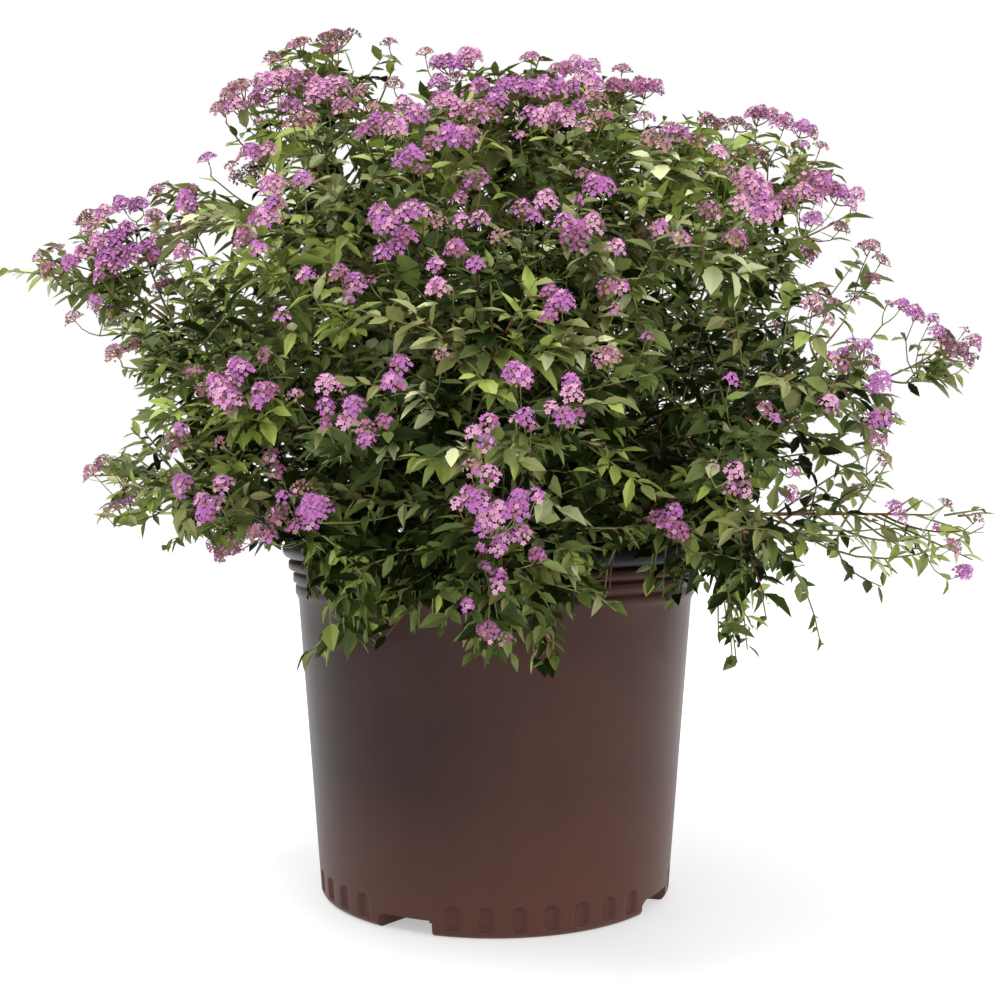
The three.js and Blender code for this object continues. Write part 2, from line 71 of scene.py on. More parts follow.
# How far over the lip's underside the mesh of the wall ends, and the lip's own one starts.
LIP_OVERLAPS = {"wall": 0.001, "lip": 0.0015}
LIP_MESH = {"points": 15, "columns": 192}
WALL_TOP = (0.1295, 0.194)  # radius, height
FOOT_RADIUS = 0.115
FOOT_EDGE = 0.003
PAINTED_BOUNCE_TOP = 0.090  # painted light: the plastic is a little paler from here down, for light bounced up from the floor
WALL = 0.0024
LINING = {"ease": 0.001, "top": 0.002, "shoulder": 0.005, "foot": 0.190}
GROOVE_RADIUS = 0.1304
HOOPS = [(0.1315, 0.196, 0.202), (0.133, 0.204, 0.210), (0.136, 0.2125, 0.218)]  # radius, low, high
HOOP_EDGE = 0.0008
NOTCHES = 4
QUARTER = 360 / NOTCHES
NOTCH_START = -118  # degrees from +X
NOTCH = {"width": 0.036, "depth": 0.030, "height": 0.009, "corner": 0.003}
FLUTES_A_QUARTER = 7
FLUTE = {  # the pitch is in degrees, and the edge is a share of half the width
    "pitch": 9.8, "width": 0.0095, "low": 0.004, "high": 0.0195, "depth": 0.0023, "edge": 0.3, "start": 0.001,
}
POT_COLUMNS = 480
FOOT_ROWS = [0, 0.0012, FOOT_EDGE, *np.arange(0.004, 0.0215, 0.0007)]  # heights on the fluted foot
WALL_ROWS = np.linspace(0.0235, WALL_TOP[1] - 0.0015, 14)
MIDDLE_RING = 0.0005  # the radius that the pot's underside and the mix start from

# ---- Sizes of the potting mix and the root crown ----

MIX_TOP = 0.203
MIX_EDGE_DROP = 0.008
MIX_LEVEL = 0.046  # radius up to which the mix is level
MIX_REACH = WALL_TOP[0] - WALL - 0.0006
MIX_MESH = {"columns": 160, "rings": 46, "skirt": 0.020}
CRUMB = {"depth": 0.0024, "below_top": 0.0095}
CHIP = {"count": 900, "least": 0.002, "more": 0.005, "sunk": 0.0015, "level": 0.25}
CHIP_RING = (0.040, 0.052)  # its inner radius, and how much less than the mix's radius its width is
CHIP_FORM = (
    [(-1, -0.5, 0), (1, -0.4, 0), (0.8, 0.5, 0), (-0.9, 0.6, 0),
     (-0.8, -0.4, 0.3), (0.8, -0.3, 0.4), (0.7, 0.4, 0.3), (-0.8, 0.4, 0.35)],
    [(0, 3, 2, 1), (4, 5, 6, 7), (0, 1, 5, 4), (1, 2, 6, 5), (2, 3, 7, 6), (3, 0, 4, 7)],
)
CROWN_PROFILE = [  # radius, and height over the mix
    (0.036, 0), (0.033, 0.002), (0.0285, 0.005), (0.025, 0.009), (0.0235, 0.014), (0.021, 0.022),
    (0.0165, 0.027), (0.010, 0.032), (0.0006, 0.0335),
]
CROWN_MESH = {"columns": 72, "rows": 26}
CROWN_RIDGES = {
    "broad": 9, "broad_share": 0.5, "sway": 4, "swing": 1.4, "twist": 90, "fine": 23, "fine_share": 0.3,
}
CROWN_RELIEF = {"inset": 0.0012, "ridges": 0.0011, "grain": 0.0005}

# ---- Where the masses of foliage lie, as in the solids ----

HEART = np.array([0.0, 0.0, POT_HEIGHT])
TIERS = {  # elevation, lift, tilt, start and root_turn are in degrees
    "top": {
        "elevation": 73, "start": 12, "root_elevation": 76, "bend": 0.05,
        "each": {
            "depth": 0.170, "half_width": 0.110, "tilt": 6, "bloom": 1, "lowest": 0.230, "light": "sunny",
        },
        "masses": {
            "right": {"reach": 0.322},
            "back": {"reach": 0.322},
            "left": {"reach": 0.350, "lift": -7},
            "front": {"reach": 0.312},
        },
    },
    "upper": {
        "elevation": 48, "root_elevation": 58, "bend": 0.08,
        "each": {
            "depth": 0.190, "half_width": 0.122, "tilt": 4, "bloom": 0.85, "lowest": 0.230, "light": "sunny",
        },
        "masses": {
            "right": {"reach": 0.336, "lift": 1},
            "back_right": {"reach": 0.320},
            "back_left": {"reach": 0.322},
            "left": {"reach": 0.336, "lift": 9},
            "front_left": {"reach": 0.320},
            "front_right": {"reach": 0.316},
        },
    },
    "middle": {
        "elevation": 23, "root_elevation": 39, "bend": 0.04,
        "each": {"depth": 0.190, "half_width": 0.120, "tilt": 3, "bloom": 0.55, "lowest": 0.230},
        "masses": {
            "right": {"reach": 0.348, "lift": -1, "half_width": 0.078, "fill": 0.8, "light": "side"},
            "back_right": {"reach": 0.318},
            "back": {"reach": 0.312},
            "back_left": {"reach": 0.320},
            "left": {
                "reach": 0.372, "lift": 10, "tilt": -4, "half_width": 0.078, "fill": 0.84, "light": "side",
            },
            "front_left": {"reach": 0.296, "half_width": 0.106},
            "front": {"reach": 0.300},
            "front_right": {"reach": 0.304, "half_width": 0.112},
        },
    },
    "skirt": {
        "elevation": 4, "root_elevation": 20, "root_turn": 14, "bend": -0.16,
        "each": {"depth": 0.160, "half_width": 0.112, "tilt": -10, "bloom": 0.35, "lowest": 0.205},
        "masses": {
            "right": {
                "reach": 0.334, "depth": 0.210, "half_width": 0.088, "tilt": -4, "lowest": 0.180,
                "open": True, "light": "side",
            },
            "back_right": {"reach": 0.282},
            "back": {"reach": 0.268},
            "back_left": {"reach": 0.276},
            "left": {
                "reach": 0.284, "lift": 7, "tilt": -6, "lowest": 0.224, "half_width": 0.090, "fill": 0.82,
                "light": "side",
            },
            "front_left": {
                "reach": 0.264, "depth": 0.132, "lift": 5, "lowest": 0.236, "half_width": 0.100, "fill": 0.84,
            },
            "front": {"reach": 0.252, "lowest": 0.170},
            "front_right": {"reach": 0.270, "lowest": 0.180, "half_width": 0.104},
        },
    },
}
FILL = 0.9  # how far out to its mass's skin the fine growth goes, unless the mass says otherwise
OPEN_SPACING = {"leaves": 1.6, "twigs": 4}  # how much further apart they stand in an open mass
DENSE_SPACING = {"leaves": 1, "twigs": 1}
GAP = 0.0003
SEED = 20
SEED_STEP = 100  # between the masses, in the seeds of their main shoots
NEARLY_UPRIGHT = 0.99  # the upright part of a direction, from which on it has no level side of its own
ROOM_STEP = 0.002
LONGEST_ROOM = 0.130
CROWN_HEART = np.array([0.0, 0.0, MIX_TOP + 0.009])
CROWN_SHOULDER = 0.021

# ---- Sizes of the growth ----
# start and end are radii. A share is of a shoot's length, unless its line says otherwise.

CANE = {"start": 0.0031, "end": 0.0019, "arch": 0.42}
CANE_MESH = {"steps": 34, "sides": 10}
CANE_SWAY = {"turns": (2, 3), "reach": 0.0012}
CANE_BUDS = {"swelling": 0.12, "rate": 12, "sharpness": 8}
CANE_RIDGES = {"depth": 0.07, "rate": 2.6, "grain": 0.05}
STEM = {"start": 0.0018, "end": 0.0006, "reach": 0.8, "bow": 0.003, "drawn": 0.86}
SHOOT = {"start": 0.0010, "end": 0.0005, "low": 0.4, "lift": 0.2, "turn": 0.5}
SHOOT_SPREAD = (70, 12)  # degrees, from a stem's foot to its tip
MAIN_SHOOTS = {"dense": 5, "open": 11}
MAIN_LENGTH = 0.9  # of the room that a leafy main shoot has
HEAD_SHARES = (0.92, 0.84, 0.76, 0.68)  # of a blooming one's room, as tried in turn
HEAD_RADIUS = 0.027
HEAD_SEAT = 0.4
HEAD_SKIN = 1.05
HEAD_RIM = 6  # points on a head's rim that have to lie in its mass
MAIN_HEAD = {"along": 0.5, "up": 0.8, "radius": (0.75, 0.95), "setback": 0.7}
FINE_SHOOTS = {"dense": 33, "open": 0}
FINE_SPREAD = (88, 10)
FINE = {
    "low": 0.12, "turn": 1.7, "sway": 0.3, "crowding": 1.3, "lift": 0.1, "slack": 0.008,
    "length": (0.7, 0.98), "skin": 0.72, "outward": 0.2, "bloom": 0.8, "head": (0.008, 0.017),
}
INNER_SHOOTS = 14
INNER_SCALE = (1.85, 1.15)  # of the leaves, from the foot of a cane to its tip
INNER = {"low": 0.3, "step": 0.02, "spread": (45, 80), "lift": 0.2, "length": (0.045, 0.085), "bend": 0.05}
TWIG = {"start": 0.00065, "end": 0.0003, "shortest": 0.022, "longest": 0.075, "spacing": 0.019}
TWIG_HEADING = {"spread": 48, "sway": (0.7, 1.2), "lift": 0.15, "bend": 0.6}
TWIG_PLACES = {"first": 0.25, "share": 0.75, "last": 0.95}
TWIG_ROOM = {"slack": 0.01, "length": (0.6, 1), "share": 0.95}
TWIG_HEAD = {"skin": 0.86, "outward": 0.25, "bloom": 0.25, "head": (0.005, 0.011)}
RULE_FACING = {"along": 0.5, "up": 0.7, "out": 0.2}  # which way a head looks that comes by rule
POT_CLEAR = 0.002
CUT_BEYOND = 0.02  # how far a shoot goes on past its last leaf

LEAF_SPACING = 0.0034
LEAF_SIZES = (0.0095, 0.0205)
LEAF_TAPER = (1.08, 0.75)  # of their sizes, from a shoot's foot to its tip
LEAF_SPREAD = (76, 42)  # degrees, likewise
LEAF_SWAY = 9
LEAF_START = 6  # how far round a shoot the first leaf may stand, in radians
LEAF_DROP = 0.35
LEAF_FACE = {"out": 0.45, "scatter": 0.36}
LEAF_TRIED = np.array([[0.3], [0.9]])  # where along a leaf it is tried against the bays
LEAF_CLEAR = {"low": 0.002, "skin": 0.07, "slack": 0.012}
LEVELLED = np.array([1.0, 1.0, 0.6])  # leaves lie flatter than their places round the shoot
LARGE = 1.35
LARGE_SHARE = 0.08
BLOOM_LEAVES_END = 0.96
HIDING = {"above": 0.3, "reach": 0.045, "share": 0.85, "edge": 0.003}  # where a leaf would hide a head

SPRAY_REACH = 0.030  # from a spray's biggest head to its others
SPRAY = {
    "lean": 5.0, "root": (0.05, 0.9), "up": 0.22, "on": 0.8, "scatter": 0.16, "pull": 0.45,
    "stalk_pull": 0.5,
}
FORK = {"drop": 0.010, "share": 0.6, "scatter": 0.002}
LISTED_FACING = {"up": 0.66, "out": 0.6, "front": 0.27}  # which way a listed head looks
SEAT = {"skin": 0.93, "slack": 0.004, "weight": 30}  # how the listed heads sit in their masses
SIGHT = np.arange(0.58, 1.25, 0.001)  # steps down a line of sight
LEAFY_STALK = 0.014  # a head's own stalk carries leaves if it is longer
BAY_SHARE = 0.3  # of the leaves that would stand in a bay, how many do on a blooming shoot
DRAPE_BAY_SHARE = 0.04  # and how many on a spray that hangs
DRAPE_ROOT = (0.25, 0.6)
LIP_CLEAR = 0.157
LIP_RISE = 0.262
BACK_FROM = 0.030  # behind this plane the heads come by rule, not from the list

# ---- Where the heads, sprays and bays of the shrub's front lie ----

# The flower heads of the shrub's front, by age: each one's middle as seen from the EYE on the plane y = 0,
# and its own radius, in mm.
BLOOMS = {
    "fresh": [
        (-30, 546, 14), (58, 543, 10), (62, 533, 10), (-37, 532, 7), (-113, 530, 16), (-10, 530, 6.5),
        (100, 530, 13), (-154, 523, 9.5), (-133, 518, 10.5), (-97, 517, 8.5), (-170, 516, 7.5),
        (23, 513, 7), (55, 513, 7), (175, 511, 11.5), (40, 510, 12.5), (-79, 508, 6), (192, 506, 8),
        (-65, 504, 10.5), (203, 502, 9.5), (-86, 498, 5), (-150, 490, 6), (-55, 483, 8.5), (-127, 468, 6),
        (-10, 468, 8.5), (217, 466, 13.5), (73, 463, 9), (-23, 458, 5), (239, 458, 6), (55, 456, 3.5),
        (-146, 454, 7), (34, 454, 7), (192, 454, 6), (-235, 453, 8), (177, 453, 12.5), (-246, 451, 8),
        (161, 451, 6), (-54, 448, 8.5), (18, 448, 6), (-48, 447, 5), (-257, 446, 10), (-59, 446, 6),
        (-152, 445, 8.5), (26, 444, 6), (-224, 443, 8), (-159, 443, 5), (212, 443, 8), (109, 437, 7),
        (56, 435, 9), (-242, 434, 9), (-166, 432, 6), (-59, 431, 8.5), (-250, 429, 9), (159, 429, 6),
        (-262, 427, 13), (-66, 425, 6), (55, 425, 5), (-26, 424, 5.5), (-238, 422, 12), (80, 422, 6),
        (-273, 421, 8), (-156, 421, 5), (-206, 419, 5), (-74, 419, 7), (-256, 417, 12), (-281, 414, 8),
        (-13, 414, 5.5), (-39, 412, 5.5), (-249, 410, 8), (-103, 409, 5), (-126, 407, 5), (-262, 405, 6),
        (-92, 399, 7), (-38, 399, 5.5), (83, 397, 5.5), (37, 395, 5.5), (-97, 392, 3.5), (-265, 387, 6),
        (45, 387, 7.5), (270, 386, 6.5), (210, 385, 5.5), (80, 384, 4.5), (35, 379, 4.5), (280, 379, 7.5),
        (-141, 378, 5), (289, 375, 5), (292, 366, 6.5), (101, 365, 3.5), (236, 361, 4.5), (316, 360, 6.5),
        (244, 357, 4.5), (225, 351, 3.5), (250, 349, 4.5), (-63, 345, 5.5), (-168, 344, 9), (17, 338, 7.5),
        (157, 337, 3.5), (-186, 336, 5.5), (-68, 336, 5.5), (255, 334, 7.5), (-182, 330, 11),
        (-151, 330, 8), (223, 322, 5.5), (-157, 321, 4.5), (-94, 320, 5.5), (179, 316, 4.5),
        (-74, 311, 3.5), (20, 311, 5.5), (-99, 310, 4.5), (185, 310, 3.5), (14, 308, 3.5), (-112, 307, 3.5),
        (-4, 307, 4.5), (24, 305, 4.5), (-208, 302, 4.5), (-14, 301, 4.5), (-86, 299, 4.5),
        (-213, 295, 6.5), (-6, 294, 4.5), (199, 275, 3.5), (-207, 267, 6.5), (-180, 266, 5.5),
        (-209, 261, 3), (-141, 259, 4.5), (27, 259, 4.5), (16, 257, 5.5), (-185, 256, 4.5), (-11, 255, 7.5),
        (-116, 251, 9), (265, 251, 5.5), (-127, 250, 5.5), (3, 249, 8.5), (14, 249, 5.5), (-193, 247, 3.5),
        (-192, 247, 6.5), (270, 245, 4.5), (-122, 243, 5.5), (-8, 239, 4.5), (17, 235, 5.5), (4, 234, 5.5),
        (-9, 225, 3), (2, 225, 4.5), (28, 220, 4.5), (-7, 213, 3), (313, 209, 7.5), (2, 207, 4.5),
        (2, 198, 3), (-18, 187, 4.5),
    ],
    "full": [
        (-16, 549, 10), (-144, 535, 14), (38, 530, 15.5), (-31, 519, 10.5), (3, 518, 9), (-60, 517, 7),
        (-16, 512, 12), (-50, 509, 8.5), (-16, 499, 8.5), (-26, 498, 9.5), (-31, 497, 7), (-42, 493, 6),
        (172, 466, 12.5), (-145, 464, 8.5), (206, 460, 9.5), (-204, 455, 10.5), (-74, 445, 9.5),
        (-10, 444, 5.5), (65, 441, 6), (-22, 440, 4.5), (46, 439, 6), (-268, 435, 7), (50, 336, 4.5),
        (-112, 333, 5.5), (-102, 329, 3.5), (51, 326, 5.5), (-175, 324, 6.5), (37, 319, 3.5),
        (-112, 318, 4.5), (55, 314, 3.5), (46, 312, 5.5), (145, 281, 3.5), (-16, 279, 4.5), (159, 276, 5.5),
        (-4, 274, 5.5), (166, 266, 4.5), (156, 264, 4.5), (-18, 263, 4.5), (197, 262, 5.5),
        (-195, 257, 5.5), (-25, 255, 3.5), (119, 250, 5.5), (109, 245, 4.5), (115, 241, 4.5),
        (122, 236, 5.5),
    ],
    "fading": [
        (-147, 547, 6.5), (45, 542, 10), (-131, 535, 11.5), (-67, 532, 6.5), (14, 531, 12.5), (82, 531, 14),
        (-168, 529, 13), (69, 521, 8), (-3, 509, 7), (-122, 508, 8), (144, 507, 10.5), (61, 503, 6),
        (122, 500, 9), (103, 496, 7), (134, 493, 7), (111, 489, 5), (-159, 486, 8.5), (155, 475, 6),
        (204, 468, 6.5), (163, 465, 6), (228, 459, 10.5), (123, 430, 5), (-225, 429, 6), (249, 423, 8),
        (-224, 418, 8), (-295, 409, 8), (216, 398, 4.5), (74, 397, 5.5), (237, 390, 4.5), (-280, 378, 6),
        (219, 376, 4.5), (-240, 361, 7), (304, 360, 16), (-252, 355, 8), (-153, 353, 4.5), (77, 353, 7.5),
        (230, 344, 4.5), (-133, 326, 4.5), (256, 310, 7.5), (-86, 306, 4.5), (-181, 294, 5.5),
        (-259, 281, 8.5), (-268, 275, 6.5), (293, 239, 3), (305, 226, 6.5), (-5, 169, 5.5), (6, 164, 4.5),
    ],
    "budding": [
        (-105, 564, 16), (-129, 558, 9.5), (-70, 558, 5.5), (-109, 555, 9.5), (-46, 552, 5.5),
        (24, 549, 6.5), (84, 541, 6.5), (-26, 536, 6.5), (-87, 528, 7.5), (-180, 517, 10.5), (-80, 515, 5),
        (99, 510, 6), (71, 509, 7), (161, 507, 10.5), (-133, 504, 7), (17, 497, 5), (204, 493, 6),
        (215, 489, 6), (148, 488, 6), (170, 487, 6), (-190, 482, 5.5), (-175, 479, 5), (-49, 476, 5),
        (59, 474, 5), (-224, 463, 8), (-201, 463, 6.5), (141, 448, 7), (143, 447, 7), (-269, 445, 9),
        (-74, 443, 8.5), (-38, 441, 7), (229, 438, 6.5), (-209, 437, 5), (3, 431, 5.5), (-289, 422, 5),
        (-301, 419, 6), (256, 415, 6.5), (251, 404, 6.5), (-83, 403, 3.5), (250, 403, 6), (225, 389, 3.5),
        (260, 386, 3.5), (311, 368, 4), (-35, 354, 4.5), (318, 352, 4), (-201, 343, 7), (-195, 331, 4.5),
        (254, 295, 5.5), (-148, 286, 6.5), (258, 285, 3.5), (-145, 277, 4.5), (-129, 264, 6.5),
        (-254, 253, 6.5), (299, 253, 5.5), (-143, 248, 7.5), (-259, 246, 4.5), (320, 243, 5.5),
        (-134, 240, 4.5), (-159, 236, 6.5), (-150, 232, 5.5),
    ],
}

# The tips of the sprays that hang over the pot's lip, as seen from the EYE on the plane y = 0, in mm.
DRAPES = [
    (-123, 190), (-122, 196), (-122, 200),
    (-109, 157), (-106, 180), (-105, 196), (-104, 189), (-100, 158), (-100, 166), (-93, 156), (-93, 199),
    (-89, 195), (-87, 174), (-85, 162), (-82, 185), (-77, 186), (-74, 177), (-71, 198), (-69, 169),
    (-67, 192), (-64, 174), (-55, 193), (-54, 181), (-51, 172), (-44, 196), (-43, 190), (-42, 176),
    (-38, 196), (-33, 163), (-31, 185), (-22, 198), (-17, 189), (-16, 163), (-11, 183), (-4, 193),
    (-2, 154), (10, 169), (10, 197), (11, 150), (16, 176), (20, 195), (23, 179), (26, 147), (28, 191),
    (29, 153), (33, 162), (39, 153), (40, 172), (42, 196), (43, 190), (43, 198), (50, 179), (57, 190),
    (58, 194), (73, 197), (73, 197), (76, 192), (89, 201), (103, 203), (105, 196), (112, 190), (119, 200),
]
# Sprays that reach past their masses: each one's mass, and its tip and the point that it bends to, in mm.
LONG_SPRAYS = [
    ("middle_left", (-307, -50, 402), (-256, -40, 400)),
    ("middle_left", (-279, -50, 408), (-240, -40, 405)),
    ("skirt_front_left", (-118, -86, 163), (-40, -165, 215)),
    ("skirt_front_left", (-105, -105, 172), (-30, -165, 222)),
    ("skirt_front_left", (-111, -96, 167), (-20, -172, 205)),
    ("skirt_right", (308, -50, 241), (236, -42, 196)),
    ("skirt_right", (263, -50, 232), (225, -30, 258)),
    ("skirt_right", (254, -50, 200), (200, -40, 214)),
    ("skirt_right", (241, -50, 268), (212, -40, 262)),
    ("skirt_right", (228, -60, 284), (200, -45, 264)),
    ("skirt_front_right", (149, -60, 154), (141, -57, 240)),
    ("skirt_front_right", (160, -50, 160), (152, -47, 240)),
    ("skirt_front_right", (207, -45, 166), (196, -43, 232)),
    ("skirt_front_right", (142, -84, 179), (135, -80, 242)),
    ("skirt_front_right", (155, -56, 192), (147, -53, 240)),
    ("skirt_front_right", (137, -78, 176), (137, -78, 240)),
    ("skirt_front_right", (203, -45, 184), (190, -43, 236)),
    ("skirt_front_right", (151, -60, 158), (143, -57, 238)),
    ("skirt_front_right", (171, -60, 176), (162, -57, 240)),
]

# Bays in the crown's edge, where daylight or the pot shows from the front: middle and radius on the plane
# y = 0, in mm.
BAYS = [
    (-302, 383, 11), (-288, 439, 8), (-278, 366, 13), (-277, 345, 9), (-274, 410, 5), (-272, 310, 9),
    (-269, 297, 7), (-263, 389, 5), (-262, 343, 9), (-259, 262, 7), (-259, 292, 6), (-257, 358, 6),
    (-251, 227, 15), (-249, 306, 5), (-246, 340, 5), (-244, 252, 4), (-244, 317, 5), (-243, 349, 5),
    (-243, 439, 5), (-229, 235, 10), (-227, 399, 8), (-223, 385, 6), (-219, 251, 5), (-213, 239, 6),
    (-213, 282, 4), (-213, 382, 4), (-203, 219, 9), (-202, 478, 12), (-196, 417, 5), (-193, 227, 5),
    (-190, 432, 5), (-176, 500, 16), (-173, 217, 9), (-171, 471, 17), (-164, 226, 5), (-152, 221, 5),
    (-150, 474, 5), (-146, 217, 8), (-140, 184, 9), (-140, 480, 4), (-137, 193, 8), (-136, 224, 5),
    (-130, 224, 4), (-130, 470, 4), (-130, 478, 5), (-130, 543, 4), (-122, 179, 5), (-122, 187, 5),
    (-122, 504, 4), (-121, 171, 5), (-110, 123, 24), (-105, 497, 4), (-102, 486, 5), (-99, 547, 4),
    (-98, 476, 5), (-95, 470, 4), (-92, 559, 5), (-88, 546, 6), (-86, 144, 13), (-74, 524, 4),
    (-63, 149, 17), (-63, 523, 6), (-56, 547, 6), (-54, 530, 4), (-53, 520, 5), (-47, 161, 7),
    (-37, 153, 11), (-30, 129, 13), (7, 546, 5), (50, 504, 4), (56, 129, 20), (63, 149, 17), (78, 163, 20),
    (78, 206, 6), (78, 220, 5), (82, 199, 6), (84, 215, 5), (90, 216, 4), (96, 129, 27), (96, 184, 6),
    (96, 216, 4), (96, 506, 5), (103, 163, 23), (103, 216, 4), (104, 513, 6), (114, 220, 5), (122, 514, 5),
    (123, 163, 20), (136, 163, 8), (137, 157, 8), (144, 176, 5), (144, 204, 4), (149, 182, 4),
    (151, 153, 7), (163, 175, 4), (163, 430, 5), (166, 153, 6), (170, 235, 3), (171, 252, 3), (177, 190, 4),
    (179, 369, 3), (181, 260, 4), (183, 242, 3), (183, 476, 9), (184, 332, 3), (187, 168, 6), (187, 370, 5),
    (188, 227, 3), (189, 274, 4), (193, 196, 5), (193, 298, 4), (196, 240, 4), (196, 442, 5),
    (200, 157, 11), (200, 380, 5), (204, 209, 4), (205, 422, 7), (206, 409, 8), (209, 315, 4),
    (209, 363, 5), (210, 441, 11), (211, 305, 4), (211, 355, 4), (212, 187, 8), (212, 375, 8),
    (215, 423, 8), (216, 216, 6), (216, 226, 4), (217, 405, 5), (218, 270, 4), (220, 207, 10),
    (220, 306, 4), (221, 338, 4), (221, 430, 13), (226, 282, 4), (226, 369, 9), (229, 357, 5),
    (230, 173, 11), (233, 226, 6), (234, 239, 6), (235, 297, 4), (235, 396, 8), (242, 326, 4),
    (243, 217, 7), (251, 236, 6), (251, 375, 13), (255, 358, 6), (256, 223, 5), (257, 262, 4),
    (257, 340, 8), (257, 343, 8), (258, 375, 7), (259, 339, 4), (266, 354, 6), (271, 268, 6), (272, 296, 9),
    (272, 319, 6), (272, 332, 6), (272, 343, 6), (276, 197, 11), (276, 352, 7), (285, 320, 15),
    (286, 297, 12), (290, 203, 5), (296, 277, 23), (326, 270, 15),
]


# ---- Vectors ----

def unit(vectors):
    return vectors / np.maximum(np.linalg.norm(vectors, axis=-1, keepdims=True), 1e-9)


def direction(azimuth, elevation):
    a, e = math.radians(azimuth), math.radians(elevation)
    return np.array([math.cos(a) * math.cos(e), math.sin(a) * math.cos(e), math.sin(e)])


def square_to(axis):
    """Two directions square to an axis, the first as level as it can be."""
    across = SIDEWAYS if abs(axis[2]) > NEARLY_UPRIGHT else UP
    side = unit(np.cross(across, axis))
    return side, unit(np.cross(axis, side))


def round_axis(side, rise, turn):
    """The direction that lies at a turn between two that are square to an axis."""
    return math.cos(turn) * side + math.sin(turn) * rise


def spread_from(axis, degrees, turn):
    """A direction at an angle to an axis, turned round it."""
    spread = math.radians(degrees)
    return math.cos(spread) * axis + math.sin(spread) * round_axis(*square_to(axis), turn)


def lerp(a, b, t):
    return a + (b - a) * t


def columns_of(rows):
    """Arrays of what stands first, second and so on in each row."""
    return (np.array(column) for column in zip(*rows))


def seeded(seed):
    """A repeatable stream of numbers from 0 to 1, the one that the solids are grown by (mulberry32)."""
    whole = 0xFFFFFFFF
    state = seed & whole

    def draw():
        nonlocal state
        state = (state + 0x6D2B79F5) & whole
        t = state
        t = ((t ^ (t >> 15)) * (t | 1)) & whole
        t ^= (t + (((t ^ (t >> 7)) * (t | 61)) & whole)) & whole
        return (t ^ (t >> 14)) / 2**32

    return draw


# ---- Meshes ----

def make_piece(name, points, faces, material, slot, nodes, smooth=False):
    """A piece from arrays of points and of faces that all have the same number of corners."""
    mesh = bpy.data.meshes.new(name)
    corners = faces.shape[1]
    mesh.vertices.add(len(points))
    mesh.vertices.foreach_set("co", np.ascontiguousarray(points, dtype=np.float32).ravel())
    mesh.loops.add(faces.size)
    mesh.loops.foreach_set("vertex_index", np.ascontiguousarray(faces, dtype=np.int32).ravel())
    mesh.polygons.add(len(faces))
    mesh.polygons.foreach_set("loop_start", np.arange(0, faces.size, corners, dtype=np.int32))
    mesh.polygons.foreach_set("use_smooth", np.full(len(faces), smooth))
    mesh.update(calc_edges=True)
    mesh.validate()
    mesh.materials.append(material)
    piece = bpy.data.objects.new(name, mesh)
    bpy.context.scene.collection.objects.link(piece)
    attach(piece, "root")
    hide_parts(*nodes)


def joined(parts):
    """One pair of arrays from many pairs of points and faces."""
    offsets = np.cumsum([0] + [len(points) for points, _ in parts[:-1]])
    points = np.concatenate([points for points, _ in parts])
    faces = np.concatenate([faces + offset for (_, faces), offset in zip(parts, offsets)])
    return points, faces


def copies(template, roots, headings, sides, normals, sizes):
    """A template's points and faces set down once for each root, in its own three directions."""
    points, faces = template
    scaled = points[None] * sizes[:, None, None]
    placed = (
        roots[:, None]
        + scaled[..., 0:1] * headings[:, None]
        + scaled[..., 1:2] * sides[:, None]
        + scaled[..., 2:3] * normals[:, None]
    )
    offsets = np.arange(len(roots))[:, None, None] * len(points)
    return placed.reshape(-1, 3), (faces[None] + offsets).reshape(-1, faces.shape[1])


def chosen_copies(template, places, chosen):
    """Copies at the chosen ones of the places, which are columns of what copies() takes."""
    return copies(template, *(column[chosen] for column in places))


def grid_faces(rows, columns):
    """Quads over a grid of points whose columns close into a ring."""
    r, c = np.meshgrid(np.arange(rows - 1), np.arange(columns), indexing="ij")
    here, after = r * columns, (r + 1) * columns
    following = (c + 1) % columns
    return np.stack([here + c, here + following, after + following, after + c], -1).reshape(-1, 4)


def turned(profile, columns):
    """A grid turned about Z from radius and height pairs."""
    angles = np.linspace(0, 2 * math.pi, columns, endpoint=False)
    radius, height = np.array(profile).T
    x = radius[:, None] * np.cos(angles)
    y = radius[:, None] * np.sin(angles)
    z = np.broadcast_to(height[:, None], x.shape)
    return np.stack([x, y, z], -1).reshape(-1, 3), grid_faces(len(profile), columns)


def tube(line, radii, sides):
    """A tapering tube along a line of points, as quads, open at both ends."""
    tangents = unit(np.gradient(line, axis=0))
    turn = np.arange(sides)[:, None] * 2 * math.pi / sides
    side, _ = square_to(tangents[0])
    rings = []
    for point, tangent, radius in zip(line, tangents, radii):
        side = unit(side - tangent * (side @ tangent))
        rise = np.cross(tangent, side)
        rings.append(point + radius * (np.cos(turn) * side + np.sin(turn) * rise))
    return np.concatenate(rings), grid_faces(len(line), sides)


# ---- Materials ----

class Socket:
    """A shader socket that takes part in Python expressions through Math nodes."""

    def __init__(self, nodes, socket):
        self.nodes = nodes
        self.socket = socket

    def math(self, operation, a, b):
        return self.nodes.add("ShaderNodeMath", {"operation": operation}, {0: a, 1: b})

    def __add__(self, other):
        return self.math("ADD", self, other)

    def __sub__(self, other):
        return self.math("SUBTRACT", self, other)

    def __rsub__(self, other):
        return self.math("SUBTRACT", other, self)

    def __mul__(self, other):
        return self.math("MULTIPLY", self, other)

    __radd__ = __add__
    __rmul__ = __mul__


